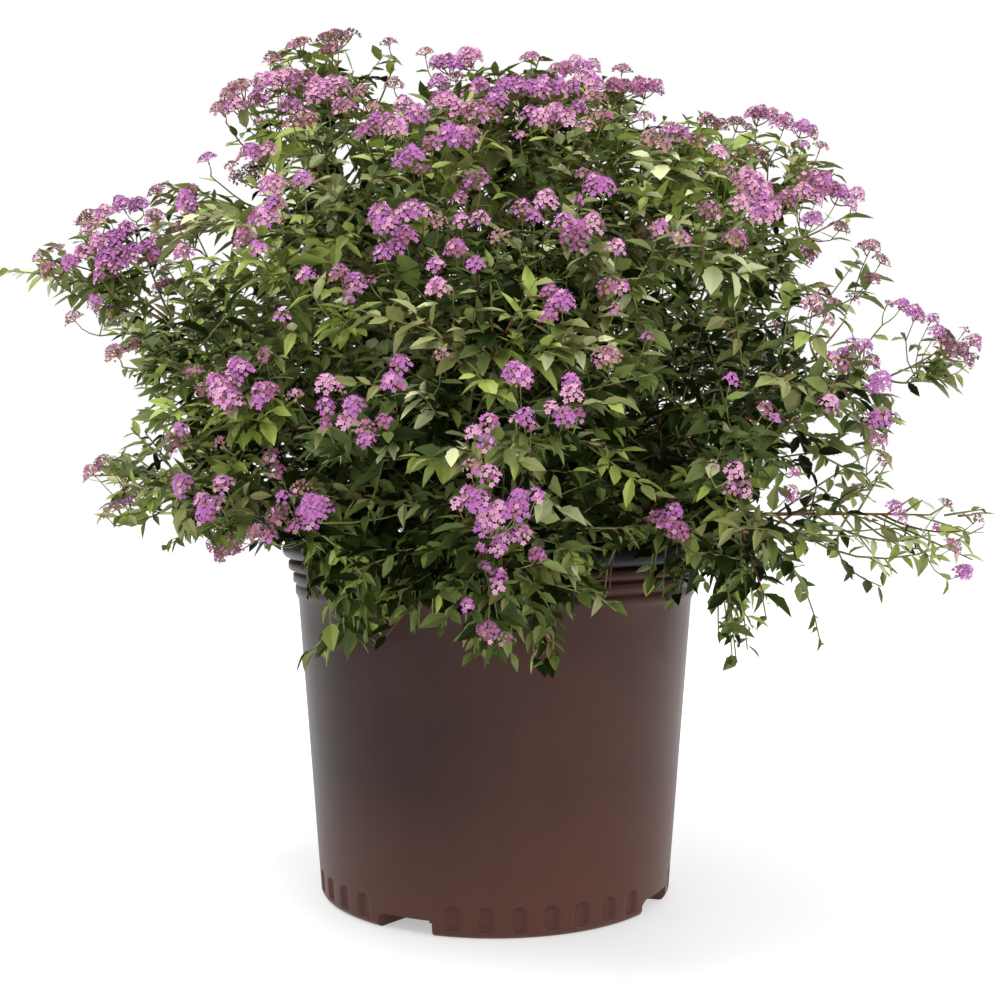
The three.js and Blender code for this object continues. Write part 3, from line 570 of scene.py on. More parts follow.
class Nodes:
    """A material's nodes, added by one method."""

    def __init__(self, name):
        self.material = bpy.data.materials.new(name)
        self.material.use_nodes = True
        self.tree = self.material.node_tree
        self.principled = self.tree.nodes["Principled BSDF"]

    def add(self, kind, settings=None, inputs=None, output=0):
        node = self.tree.nodes.new(kind)
        for key, value in (settings or {}).items():
            if key == "stops":
                self.set_stops(node.color_ramp, value)
            else:
                setattr(node, key, value)
        for key, value in (inputs or {}).items():
            self.put(node.inputs[key], value)
        return Socket(self, node.outputs[output])

    def put(self, socket, value):
        if isinstance(value, Socket):
            self.tree.links.new(value.socket, socket)
        else:
            socket.default_value = value

    def set_stops(self, ramp, stops):
        for element, (place, colour) in zip(ramp.elements, (stops[0], stops[-1])):
            element.position = place
            element.color = colour
        for place, colour in stops[1:-1]:
            ramp.elements.new(place).color = colour

    def place(self):
        return self.add("ShaderNodeTexCoord", output="Object")

    def coordinate(self, axis):
        return self.add("ShaderNodeSeparateXYZ", inputs={0: self.place()}, output=axis)

    def noise(self, scale, detail, vector=None):
        inputs = {"Vector": vector or self.place(), "Scale": scale, "Detail": detail}
        return self.add("ShaderNodeTexNoise", inputs=inputs)

    def stretched(self, x, y, z):
        return self.add("ShaderNodeMapping", inputs={"Vector": self.place(), "Scale": (x, y, z)})

    def ranged(self, value, start, end):
        """A value as its share of the way from a start to an end."""
        return self.add("ShaderNodeMapRange", inputs={0: value, 1: start, 2: end})

    def ramp(self, value, stops):
        return self.add("ShaderNodeValToRGB", {"stops": stops}, {0: value})

    def mixed(self, factor, a, b):
        """A colour between two, through the Mix node's colour sockets."""
        return self.add("ShaderNodeMix", {"data_type": "RGBA"}, {0: factor, 6: a, 7: b}, output=2)

    def bump(self, height, strength, distance):
        inputs = {"Height": height, "Strength": strength, "Distance": distance}
        return self.add("ShaderNodeBump", inputs=inputs)

    def finish(self, **inputs):
        for key, value in inputs.items():
            self.put(self.principled.inputs[key.replace("_", " ")], value)
        return self.material


def rgb(red, green, blue):
    """A colour given as it looks on a screen, from 0 to 255, as Blender's linear values."""
    linear = [((v / 255 + 0.055) / 1.055) ** 2.4 if v > 10 else v / 255 / 12.92 for v in (red, green, blue)]
    return (*linear, 1.0)


def plastic_material(name, dark, light, bounce_colour, roughness):
    """Moulded plastic in cloudy, streaked tones, with painted light: lighter on its +X side, darker on its
    shaded -X side, and paler towards the foot, for light bounced up from the floor.
    """
    nodes = Nodes(name)
    cloud = nodes.noise(scale=9, detail=4)
    streaks = nodes.noise(scale=1, detail=5, vector=nodes.stretched(60, 60, 7))
    grain = nodes.noise(scale=900, detail=2)
    # Painted light and shade: the plastic is mixed lighter towards +X and darker towards -X.
    painted_side_light = nodes.ranged(nodes.coordinate("X"), start=-LIP_RADIUS, end=LIP_RADIUS)
    # Painted bounce light: the colour is mixed paler from a little above the foot down to the underside.
    foot = nodes.ranged(nodes.coordinate("Z"), start=PAINTED_BOUNCE_TOP, end=0.0)
    tone = nodes.ranged(cloud * 0.45 + streaks * 0.15 + painted_side_light * 0.4, start=0.3, end=0.62)
    return nodes.finish(
        Base_Color=nodes.mixed(foot * 0.75, nodes.mixed(tone, dark, light), bounce_colour),
        Roughness=roughness + streaks * 0.1,
        Normal=nodes.bump(grain * 0.6 + streaks * 0.4, strength=0.2, distance=0.0005),
        Specular_IOR_Level=0.18,
    )


def soil_material():
    nodes = Nodes("potting_mix")
    coarse = nodes.noise(scale=240, detail=5)
    fine = nodes.noise(scale=1100, detail=3)
    stops = [(0.3, rgb(24, 17, 12)), (0.52, rgb(52, 38, 28)), (0.75, rgb(96, 74, 55))]
    return nodes.finish(
        Base_Color=nodes.ramp(coarse, stops),
        Roughness=0.95 - fine * 0.1,
        Normal=nodes.bump(coarse * 0.6 + fine * 0.4, strength=0.8, distance=0.002),
    )


def bark_material(name, dark, light, relief):
    """Bark in blotches of two tones, with fibres that run up and down."""
    nodes = Nodes(name)
    blotches = nodes.noise(scale=160, detail=4)
    fibres = nodes.noise(scale=1, detail=4, vector=nodes.stretched(900, 900, 90))
    tone = nodes.ranged(blotches * 0.55 + fibres * 0.45, start=0.35, end=0.65)
    return nodes.finish(
        Base_Color=nodes.mixed(tone, dark, light),
        Roughness=0.62 + fibres * 0.3,
        Normal=nodes.bump(fibres, strength=0.6, distance=relief),
    )


def leaf_material(name, colour, shine):
    nodes = Nodes(name)
    veins = nodes.noise(scale=520, detail=3)
    return nodes.finish(
        Base_Color=colour,
        Roughness=0.44 + veins * 0.12,
        Normal=nodes.bump(veins, strength=0.35, distance=0.0005),
        Specular_IOR_Level=shine,
    )


def petal_material(name, colour):
    nodes = Nodes(name)
    folds = nodes.noise(scale=1500, detail=2)
    return nodes.finish(
        Base_Color=colour,
        Roughness=0.6 + folds * 0.2,
        Normal=nodes.bump(folds, strength=0.3, distance=0.0003),
        Specular_IOR_Level=0.3,
        Sheen_Weight=0.25,
    )


def floor_material():
    nodes = Nodes("floor")
    speckle = nodes.noise(scale=3, detail=2)
    return nodes.finish(
        Base_Color=FLOOR_GREY,
        Roughness=0.7 + speckle * 0.1,
        Emission_Color=WHITE,
        Emission_Strength=FLOOR_GLOW,
    )


# ---- The stage ----

def set_stage():
    add_camera()
    for name, facts in LIGHTS.items():
        add_light(name, *facts)
    world = bpy.data.worlds.new("studio")
    world.use_nodes = True
    backdrop = world.node_tree.nodes["Background"]
    backdrop.inputs["Color"].default_value = WHITE
    backdrop.inputs["Strength"].default_value = 1.0
    bpy.context.scene.world = world
    bpy.context.scene.view_settings.view_transform = "Standard"
    add_floor()


def add_camera():
    lens = bpy.data.cameras.new("camera")
    lens.lens = CAMERA["lens"]
    lens.sensor_width = CAMERA["sensor"]
    camera = bpy.data.objects.new("camera", lens)
    camera.location = EYE
    camera.rotation_euler = (math.radians(90 + CAMERA["tilt"]), 0, 0)
    bpy.context.scene.collection.objects.link(camera)
    bpy.context.scene.camera = camera


def add_light(name, place, size, power):
    light = bpy.data.lights.new(name, "AREA")
    light.size = size
    light.energy = power
    lamp = bpy.data.objects.new(name, light)
    lamp.location = place
    lamp.rotation_euler = (Vector(LIGHT_AIM) - Vector(place)).to_track_quat("-Z", "Y").to_euler()
    bpy.context.scene.collection.objects.link(lamp)


def add_floor():
    mesh = bpy.data.meshes.new("floor")
    corners = [(x * FLOOR_REACH, y * FLOOR_REACH, 0) for x, y in ((-1, -1), (1, -1), (1, 1), (-1, 1))]
    mesh.from_pydata(corners, [], [(0, 1, 2, 3)])
    mesh.materials.append(floor_material())
    floor = bpy.data.objects.new("floor", mesh)
    bpy.context.scene.collection.objects.link(floor)


# ---- The pot and its potting mix ----

def wall_radius(z):
    return lerp(FOOT_RADIUS, WALL_TOP[0], z / WALL_TOP[1])


def rounded_hoop(radius, low, high):
    """The outline of a hoop that stands out of the groove, with soft edges."""
    return [
        (GROOVE_RADIUS, low - HOOP_EDGE),
        (radius - HOOP_EDGE, low),
        (radius, low + HOOP_EDGE),
        (radius, high - HOOP_EDGE),
        (radius - HOOP_EDGE, high),
        (GROOVE_RADIUS, high + HOOP_EDGE),
    ]


def flute_depth(angles, z):
    """How far the wall is pressed in at each angle of one height, in arch-topped flutes."""
    from_middle = (angles - NOTCH_START) % QUARTER - QUARTER / 2
    nearest = np.round(from_middle / FLUTE["pitch"]) * FLUTE["pitch"]
    is_flute = np.abs(nearest) < FLUTE["pitch"] * FLUTES_A_QUARTER / 2
    half_width = FLUTE["width"] / 2
    across = np.abs(np.radians(from_middle - nearest)) * wall_radius(z) / half_width
    up = max(0.0, z - (FLUTE["high"] - half_width)) / half_width
    inside = np.clip((1 - np.hypot(across, up)) / FLUTE["edge"], 0, 1)
    low = np.clip((z - FLUTE["low"]) / FLUTE["start"], 0, 1)
    return FLUTE["depth"] * inside * is_flute * low


def notch_depth(angles, z):
    """How far the wall is let in at each angle of one height, in the drain notches of the foot."""
    from_notch = (angles - NOTCH_START + QUARTER / 2) % QUARTER - QUARTER / 2
    across = np.abs(np.radians(from_notch)) * wall_radius(z)
    corner = NOTCH["corner"]
    drop = np.clip(NOTCH["height"] - z, 0, corner)
    half_width = NOTCH["width"] / 2 - corner + math.sqrt(max(0.0, corner**2 - (corner - drop) ** 2))
    return NOTCH["depth"] * (across < half_width) * (z < NOTCH["height"])


def pot_wall():
    """The brown outside of the pot, from its underside to under the lip."""
    angles = np.linspace(0, 360, POT_COLUMNS, endpoint=False)
    rows = [(MIDDLE_RING, 0.0)]
    for z in [*FOOT_ROWS, *WALL_ROWS]:
        edge = FOOT_EDGE * (1 - min(1.0, z / FOOT_EDGE)) ** 2
        rows.append((wall_radius(z) - edge - flute_depth(angles, z) - notch_depth(angles, z), z))
    for hoop in HOOPS:
        rows += rounded_hoop(*hoop)
    rows.append((GROOVE_RADIUS, POT_HEIGHT - LIP_DROP + LIP_OVERLAPS["wall"]))
    turns = np.radians(angles)
    points = [
        np.stack([radius * np.cos(turns), radius * np.sin(turns), np.full(POT_COLUMNS, z)], -1)
        for radius, z in rows
    ]
    return np.concatenate(points), grid_faces(len(rows), POT_COLUMNS)


def pot_lip():
    """The rolled lip and the dark inside of the wall, down to below the mix."""
    middle, roll = LIP_RADIUS - LIP_DROP / 2, LIP_DROP / 2
    arc = np.radians(np.linspace(*LIP_ARC, LIP_MESH["points"]))
    under = [(GROOVE_RADIUS, POT_HEIGHT - LIP_DROP + LIP_OVERLAPS["lip"])]
    rolled = [(middle + roll * math.cos(a), POT_HEIGHT - roll + roll * math.sin(a)) for a in arc]
    inner = GROOVE_RADIUS - WALL
    lining = [
        (inner + LINING["ease"], POT_HEIGHT - LINING["top"]),
        (inner, POT_HEIGHT - LINING["shoulder"]),
        (WALL_TOP[0] - WALL, LINING["foot"]),
    ]
    return turned(under + rolled + lining, LIP_MESH["columns"])


def make_pot():
    brown = plastic_material(
        "pot_plastic", dark=rgb(34, 19, 16), light=rgb(66, 39, 32), bounce_colour=rgb(90, 56, 47), roughness=0.34
    )
    black = plastic_material(
        "lip_plastic", dark=rgb(24, 25, 31), light=rgb(40, 41, 49), bounce_colour=rgb(40, 41, 49), roughness=0.30
    )
    make_piece("pot_wall", *pot_wall(), brown, "pot", ["pot"], smooth=True)
    make_piece("pot_lip", *pot_lip(), black, "pot", ["pot"], smooth=True)


def mix_drop(radius):
    """How far the mix has sunk towards its edge."""
    return MIX_EDGE_DROP * np.clip((radius - MIX_LEVEL) / (MIX_REACH - MIX_LEVEL), 0, 1)


def mix_surface(random):
    """A crumbly surface, with a skirt that goes down along the wall."""
    radius = np.linspace(MIDDLE_RING, MIX_REACH, MIX_MESH["rings"])
    profile = list(zip(radius, MIX_TOP - mix_drop(radius))) + [(MIX_REACH, MIX_TOP - MIX_MESH["skirt"])]
    points, faces = turned(profile, MIX_MESH["columns"])
    crumbs = random.random(len(points)) * CRUMB["depth"]
    points[:, 2] -= crumbs * (points[:, 2] > MIX_TOP - CRUMB["below_top"])
    return points, faces


def bark_chips(random):
    """Chips of bark that lie on the mix, in a ring about the root crown."""
    form = tuple(np.array(part) for part in CHIP_FORM)
    spot = CHIP_RING[0] + (MIX_REACH - CHIP_RING[1]) * np.sqrt(random.random(CHIP["count"]))
    turn = random.random(CHIP["count"]) * 2 * math.pi
    roots = np.stack([spot * np.cos(turn), spot * np.sin(turn), MIX_TOP - mix_drop(spot) - CHIP["sunk"]], -1)
    headings = unit(random.normal(size=(CHIP["count"], 3)) * [1, 1, CHIP["level"]])
    normals = unit(UP - headings * (headings @ UP)[:, None])
    sizes = CHIP["least"] + CHIP["more"] * random.random(CHIP["count"])
    return copies(form, roots, headings, np.cross(normals, headings), normals, sizes)


def make_mix(random):
    mix = joined([mix_surface(random), bark_chips(random)])
    make_piece("potting_mix_surface", *mix, soil_material(), "potting_mix", ["potting_mix"])


# ---- The masses of foliage ----

class Mass:
    """One mass of foliage: the space that its twigs and leaves keep to."""

    def __init__(self, name, tier, own, azimuth, seed):
        facts = {"lift": 0, "open": False, "light": "plain", "fill": FILL, **tier["each"], **own}
        elevation = tier["elevation"] + facts["lift"]
        self.name = name
        self.seed = seed
        self.bloom = facts["bloom"]
        self.fill = facts["fill"]
        self.lowest = facts["lowest"]
        self.light = facts["light"]
        self.kind = "open" if facts["open"] else "dense"
        self.spacing = OPEN_SPACING if facts["open"] else DENSE_SPACING
        self.bend = tier["bend"]
        self.half_width = facts["half_width"]
        self.half_depth = facts["depth"] / 2
        self.axis = direction(azimuth, elevation + facts["tilt"])
        self.centre = HEART + direction(azimuth, elevation) * (facts["reach"] - self.half_depth)
        self.entry = self.centre - self.axis * self.half_depth
        self.root_direction = direction(azimuth + tier.get("root_turn", 0), tier["root_elevation"])

    def wall_to(self, others):
        """Walls between the mass and the others, by their widths, keep each to its own space."""
        offsets = np.array([other.centre - self.centre for other in others])
        shares = np.array([self.half_width / (self.half_width + other.half_width) for other in others])
        self.normals = unit(offsets)
        feet = self.centre + offsets * shares[:, None]
        self.limits = (feet * self.normals).sum(1) - GAP

    def depth_in(self, points):
        """How far out in the mass points are: 1 on its skin."""
        offset = points - self.centre
        along = offset @ self.axis
        across = np.sqrt(np.maximum(0, (offset**2).sum(-1) - along**2))
        return np.hypot(along / self.half_depth, across / self.half_width)

    def inside(self, points, skin=1.0, slack=0.0):
        clear = np.all(points @ self.normals.T < self.limits + slack, axis=-1)
        return clear & (points[..., 2] >= self.lowest - slack) & (self.depth_in(points) <= skin)

    def miss(self, points):
        """How far points are from the room inside the mass's skin that the listed heads sit in."""
        low = np.maximum(0, self.lowest - SEAT["slack"] - points[:, 2])
        wall = np.maximum(0, points @ self.normals.T - self.limits - SEAT["slack"]).max(1)
        return np.maximum(0, self.depth_in(points) - SEAT["skin"]) + (low + wall) * SEAT["weight"]

    def room_along(self, start, heading, skin=1.0, slack=0.0):
        steps = np.arange(1, round(LONGEST_ROOM / ROOM_STEP) + 1) * ROOM_STEP
        blocked = ~self.inside(start + steps[:, None] * heading, skin, slack)
        return ROOM_STEP * (blocked.argmax() if blocked.any() else len(steps))

    def stem_point(self, t):
        """A point on the stem, from its foot at the cane's tip to its own tip."""
        foot = self.entry + self.axis * GAP
        middle = self.centre + square_to(self.axis)[1] * STEM["bow"]
        tip = self.centre + self.axis * self.half_depth * STEM["reach"]
        return (1 - t) ** 2 * foot + 2 * t * (1 - t) * middle + t**2 * tip

    def cane_point(self, t):
        """A point on the cane, which rises from the root crown and arches into the mass."""
        start = CROWN_HEART + self.root_direction * CROWN_SHOULDER / 2
        pull = np.linalg.norm(self.entry - start) * CANE["arch"]
        pulls = [start, start + self.root_direction * pull, self.entry - self.axis * pull, self.entry]
        weights = [(1 - t) ** 3, 3 * t * (1 - t) ** 2, 3 * t**2 * (1 - t), t**3]
        return sum(weight * point for weight, point in zip(weights, pulls))


def lay_out():
    masses = []
    for tier_name, tier in TIERS.items():
        for index, (name, own) in enumerate(tier["masses"].items()):
            azimuth = tier.get("start", 0) + index * 360 / len(tier["masses"])
            masses.append(Mass(f"{tier_name}_{name}", tier, own, azimuth, SEED + len(masses)))
    for mass in masses:
        mass.wall_to([other for other in masses if other is not mass])
    return masses


# ---- Where the listed heads, sprays and bays lie ----

def line_of_sight(x, z):
    """Points in a row from the EYE through a place on the plane y = 0, which is given in mm."""
    return EYE + SIGHT[:, None] * unit(np.array([x, 0, z]) / MM - EYE)


def in_bay(points):
    """Whether points lie in one of the bays, as seen from the front."""
    seen = EYE + (points - EYE) * (EYE[1] / (EYE[1] - points[..., 1:2]))
    bays = np.array(BAYS) / MM
    reach = np.hypot(seen[..., 0:1] - bays[:, 0], seen[..., 2:3] - bays[:, 1])
    return (reach < bays[:, 2]).any(-1)


def in_pot(points):
    beside = np.hypot(points[..., 0], points[..., 1]) < LIP_RADIUS + POT_CLEAR
    return beside & (points[..., 2] < POT_HEIGHT + POT_CLEAR)


def placed_blooms(masses):
    """The listed heads of each mass, as middle, radius and age: each sits where its line of sight first
    meets a mass, or comes nearest to one."""
    placed = {mass.name: [] for mass in masses}
    for age, heads in BLOOMS.items():
        for x, z, radius in heads:
            sight = line_of_sight(x, z)
            misses = np.array([mass.miss(sight) for mass in masses])
            step = misses.min(0).argmin()
            nearest = masses[misses[:, step].argmin()]
            placed[nearest.name].append((sight[step], radius / MM, age))
    return placed


def placed_drapes(masses):
    """The tips of each mass's sprays over the lip, and the points that they bend to."""
    placed = {mass.name: [] for mass in masses}
    skirt = [mass for mass in masses if mass.name.startswith("skirt_front")]
    for x, z in DRAPES:
        sight = line_of_sight(x, z)
        from_axis = np.hypot(sight[:, 0], sight[:, 1])
        at_lip = from_axis < LIP_CLEAR
        tip = sight[at_lip.argmax() if at_lip.any() else from_axis.argmin()]
        beside = unit(tip * [1, 1, 0])
        nearest = max(skirt, key=lambda mass: unit(mass.centre * [1, 1, 0]) @ beside)
        placed[nearest.name].append((tip, beside * LIP_CLEAR + UP * LIP_RISE))
    for name, tip, pull in LONG_SPRAYS:
        placed[name].append((np.array(tip) / MM, np.array(pull) / MM))
    return placed


def in_sprays(blooms):
    """The listed heads in groups near enough to one another to share a shoot."""
    left = sorted(blooms, key=lambda bloom: -bloom[1])
    groups = []
    while left:
        apart = [np.linalg.norm(left[0][0] - place) for place, _, _ in left]
        groups.append([bloom for bloom, gap in zip(left, apart) if gap < SPRAY_REACH])
        left = [bloom for bloom, gap in zip(left, apart) if gap >= SPRAY_REACH]
    return groups


# ---- Lines of growth ----

def bent_line(root, heading, length, bend, points):
    """A line that leaves its root along a heading and bends up, or down where bend is negative."""
    t = np.linspace(0, 1, points)[:, None]
    return root + heading * length * t + UP * bend * length * t**2


def curved_line(root, pull, tip, points):
    """A line that leaves its root towards a point and bends over to its tip."""
    t = np.linspace(0, 1, points)[:, None]
    return (1 - t) ** 2 * root + 2 * t * (1 - t) * pull + t**2 * tip


def point_on(line, t):
    place = np.clip(t, 0, 1) * (len(line) - 1)
    low = min(int(place), len(line) - 2)
    return lerp(line[low], line[low + 1], place - low)


def cut_line(line, last):
    """A line cut off a little beyond its last leaf."""
    return np.array([point_on(line, t) for t in np.linspace(0, min(1, last + CUT_BEYOND), len(line))])


# ---- Growth: shoots, twigs, leaf places and head places ----

class Growth:
    """Everything that has grown.

    A twig is a line and its two radii. A leaf is its root, heading, face, size and how far out it is in
    its mass, and then its tint. A head is its base, facing, radius and age.
    """

    def __init__(self):
        self.twigs = []
        self.leaves = []
        self.heads = []


def head_fits(mass, base, facing, radius):
    side, rise = square_to(facing)
    turns = np.arange(HEAD_RIM)[:, None] * 2 * math.pi / HEAD_RIM
    rim = base + radius * (np.cos(turns) * side + np.sin(turns) * rise)
    return bool(mass.inside(rim, HEAD_SKIN).all())


def rule_facing(heading, tip):
    """Which way a head that comes by rule looks: mostly up."""
    outward = unit(tip - HEART)
    return unit(heading * RULE_FACING["along"] + UP * RULE_FACING["up"] + outward * RULE_FACING["out"])


def listed_facing(place):
    """Which way a listed head looks: up, outward and a little to the front."""
    outward = unit(place - HEART)
    return unit(UP * LISTED_FACING["up"] + outward * LISTED_FACING["out"] + FRONT * LISTED_FACING["front"])


def blooms_by_rule(mass, tip, heading, rule, random):
    """Whether a tip at the shrub's back, near its mass's skin, carries a head."""
    near_skin = mass.depth_in(tip) > rule["skin"] * mass.fill
    outward = unit(tip - HEART) @ heading > rule["outward"]
    return near_skin and outward and tip[1] > BACK_FROM and random.random() < mass.bloom * rule["bloom"]


def grow_main_shoot(mass, k, count, growth, random):
    """One of the shoots that the mass's solid has, at the same place, with its flower head."""
    draw = seeded(mass.seed * SEED_STEP + k)
    root = mass.stem_point(lerp(SHOOT["low"], 1, (k + 0.5) / count))
    turn = k * GOLDEN_ANGLE + mass.seed + draw() * SHOOT["turn"]
    heading = spread_from(mass.axis, lerp(*SHOOT_SPREAD, k / (count - 1)), turn)
    heading = unit(heading + UP * SHOOT["lift"])
    room = mass.room_along(root, heading)
    blooms = heading[2] > 0 and draw() < mass.bloom and root[1] > BACK_FROM
    facing = unit(heading * MAIN_HEAD["along"] + UP * MAIN_HEAD["up"])
    for share in HEAD_SHARES if blooms else ():
        tip = root + heading * room * share
        if head_fits(mass, tip + facing * HEAD_RADIUS * HEAD_SEAT, facing, HEAD_RADIUS):
            radius = HEAD_RADIUS * random.uniform(*MAIN_HEAD["radius"])
            line = bent_line(root, heading, room * share - radius * MAIN_HEAD["setback"], bend=0, points=5)
            growth.heads.append((line[-1], facing, radius, None))
            dress_shoot(mass, line, growth, random, blooming=True)
            return
    dress_shoot(mass, bent_line(root, heading, room * MAIN_LENGTH, bend=0, points=5), growth, random)


def grow_fine_shoot(mass, k, count, growth, random):
    """A shoot between the main ones, carried to finer twigs."""
    root = mass.stem_point(lerp(FINE["low"], 1, (k + random.random()) / count))
    turn = k * GOLDEN_ANGLE + mass.seed * FINE["turn"] + random.uniform(-FINE["sway"], FINE["sway"])
    heading = spread_from(mass.axis, lerp(*FINE_SPREAD, (k / (count - 1)) ** FINE["crowding"]), turn)
    heading = unit(heading + UP * FINE["lift"])
    length = mass.room_along(root, heading, mass.fill, FINE["slack"]) * random.uniform(*FINE["length"])
    if length < TWIG["shortest"]:
        return
    line = bent_line(root, heading, length, mass.bend, points=6)
    blooms = blooms_by_rule(mass, line[-1], heading, FINE, random)
    if blooms:
        facing = rule_facing(heading, line[-1])
        radius = random.uniform(*FINE["head"])
        line = bent_line(root, heading, max(TWIG["shortest"], length - radius), mass.bend, points=6)
        growth.heads.append((line[-1], facing, radius, None))
    dress_shoot(mass, line, growth, random, blooming=blooms)


def grow_inner_shoot(mass, k, growth, random):
    """A shaded shoot on the upper stretch of a cane, in the heart of the shrub."""
    t = lerp(INNER["low"], 1, (k + random.random()) / INNER_SHOOTS)
    tangent = unit(mass.cane_point(min(1, t + INNER["step"])) - mass.cane_point(t - INNER["step"]))
    heading = spread_from(tangent, random.uniform(*INNER["spread"]), k * GOLDEN_ANGLE + mass.seed)
    heading = unit(heading + UP * INNER["lift"])
    length = random.uniform(*INNER["length"])
    line = bent_line(mass.cane_point(t), heading, length, INNER["bend"], points=4)
    if in_pot(line).any():
        return
    scale = lerp(*INNER_SCALE, t)
    leafy = place_leaves(mass, line, growth, random, first=0.15, last=1.0, keep_inside=False, scale=scale)
    growth.twigs.append((cut_line(line, leafy), SHOOT["start"], SHOOT["end"]))


def grow_bloom_spray(mass, blooms, growth, random):
    """A shoot from the mass's stem that forks out to a group of the listed flower heads."""
    places = np.array([place for place, _, _ in blooms])
    middle = places.mean(0)
    facing = listed_facing(middle)
    stem = np.linalg.norm(mass.stem_point(1) - mass.stem_point(0))
    along = (middle - mass.stem_point(0)) @ mass.axis / stem
    across = np.linalg.norm(middle - mass.stem_point(np.clip(along, 0, 1)))
    root = mass.stem_point(np.clip(along - across * SPRAY["lean"], *SPRAY["root"]))
    spread = np.linalg.norm(places - middle, axis=1).max()
    back = facing if middle[2] > HEART[2] else unit(middle - root)
    fork = middle - back * min(FORK["drop"] + spread, FORK["share"] * np.linalg.norm(middle - root))
    fork += random.normal(size=3) * FORK["scatter"]
    scatter = random.normal(size=3) * SPRAY["scatter"]
    way = unit(facing * SPRAY["up"] + unit(fork - root) * SPRAY["on"] + scatter)
    pull = fork - way * np.linalg.norm(fork - root) * SPRAY["pull"]
    dress_shoot(mass, curved_line(root, pull, fork, points=7), growth, random, blooming=True)
    for place, radius, age in blooms:
        facing = listed_facing(place)
        base = place - facing * radius * HEAD_STALK
        stalk = np.linalg.norm(base - fork)
        line = curved_line(fork, base - facing * stalk * SPRAY["stalk_pull"], base, points=4)
        growth.heads.append((base, facing, radius, age))
        growth.twigs.append((line, SHOOT["end"], TWIG["end"]))
        if stalk > LEAFY_STALK:
            place_leaves(mass, line, growth, random, first=0.1, last=0.75, bay_share=BAY_SHARE)


def grow_drape(mass, tip, pull, growth, random):
    """A leafy spray from the mass's stem that bends over to its tip."""
    line = curved_line(mass.stem_point(random.uniform(*DRAPE_ROOT)), pull, tip, points=8)
    line = line[~in_pot(line)]
    leafy = place_leaves(
        mass, line, growth, random, first=0.2, last=1.0, keep_inside=False, bay_share=DRAPE_BAY_SHARE
    )
    growth.twigs.append((cut_line(line, leafy), SHOOT["start"], SHOOT["end"]))


def dress_shoot(mass, line, growth, random, blooming=False):
    """Side twigs and leaves along a shoot. One without a head ends at its last leaf."""
    line = line[~in_pot(line)]
    if len(line) < 3:
        return
    length = np.linalg.norm(line[-1] - line[0])
    if blooming:
        place_leaves(mass, line, growth, random, first=0.25, last=BLOOM_LEAVES_END, bay_share=BAY_SHARE)
        leafy = 1
    else:
        leafy = place_leaves(mass, line, growth, random, first=0.25, last=1.0)
    if not leafy:
        return
    growth.twigs.append((cut_line(line, leafy), SHOOT["start"], SHOOT["end"]))
    spacing = TWIG["spacing"] * mass.spacing["twigs"]
    for j in range(int(length * TWIG_PLACES["share"] / spacing)):
        t = TWIG_PLACES["first"] + (j + random.random()) * spacing / length
        if t > min(TWIG_PLACES["last"], leafy):
            break
        root = point_on(line, t)
        spread = TWIG_HEADING["spread"] * random.uniform(*TWIG_HEADING["sway"])
        heading = spread_from(unit(line[-1] - line[0]), spread, j * GOLDEN_ANGLE + random.random())
        heading = unit(heading + UP * TWIG_HEADING["lift"])
        room = mass.room_along(root, heading, mass.fill, TWIG_ROOM["slack"])
        reach = min(TWIG["longest"] * random.uniform(*TWIG_ROOM["length"]), room * TWIG_ROOM["share"])
        if reach > TWIG["shortest"]:
            grow_twig(mass, root, heading, reach, growth, random)


def grow_twig(mass, root, heading, length, growth, random):
    line = bent_line(root, heading, length, mass.bend * TWIG_HEADING["bend"], points=4)
    if in_pot(line).any() or in_bay(line[1:]).any():
        return
    tip = line[-1]
    blooms = blooms_by_rule(mass, tip, heading, TWIG_HEAD, random)
    if blooms:
        growth.heads.append((tip, rule_facing(heading, tip), random.uniform(*TWIG_HEAD["head"]), None))
    leafy = place_leaves(mass, line, growth, random, first=0.2, last=0.9 if blooms else 1.0)
    growth.twigs.append((line if blooms else cut_line(line, leafy), TWIG["start"], TWIG["end"]))


def leaf_fits(mass, tip):
    above = tip[2] >= mass.lowest - LEAF_CLEAR["low"]
    return above and mass.inside(tip, mass.fill + LEAF_CLEAR["skin"], LEAF_CLEAR["slack"])


def place_leaves(mass, line, growth, random, first, last, keep_inside=True, bay_share=0.0, scale=1.0):
    """Leaves in turn round a line, each with its face to the light; how far along the last one is."""
    length = np.linalg.norm(line[-1] - line[0])
    count = max(2, int(length * (last - first) / LEAF_SPACING / mass.spacing["leaves"]))
    tangent = unit(line[-1] - line[0])
    start = random.random() * LEAF_START
    furthest = 0
    for i in range(count):
        t = lerp(first, last, (i + 0.5) / count)
        root = point_on(line, t)
        if bay_share == 0 and in_bay(root[None]).any():
            break
        spread = lerp(*LEAF_SPREAD, t) + random.uniform(-LEAF_SWAY, LEAF_SWAY)
        heading = spread_from(tangent, spread, start + i * GOLDEN_ANGLE)
        heading = unit(heading * LEVELLED - UP * random.uniform(0.0, LEAF_DROP))
        size = random.uniform(*LEAF_SIZES) * lerp(*LEAF_TAPER, t) * scale
        size *= LARGE if random.random() < LARGE_SHARE else 1
        tip = root + heading * size
        if in_pot(tip) or (keep_inside and not leaf_fits(mass, tip)):
            continue
        if random.random() >= bay_share and in_bay(lerp(root, tip, LEAF_TRIED)).any():
            continue
        scatter = random.normal(size=3) * LEAF_FACE["scatter"]
        face = unit(unit(root - HEART) * LEAF_FACE["out"] + UP + scatter)
        growth.leaves.append((root, heading, face, size, mass.depth_in(root)))
        furthest = t
    return furthest


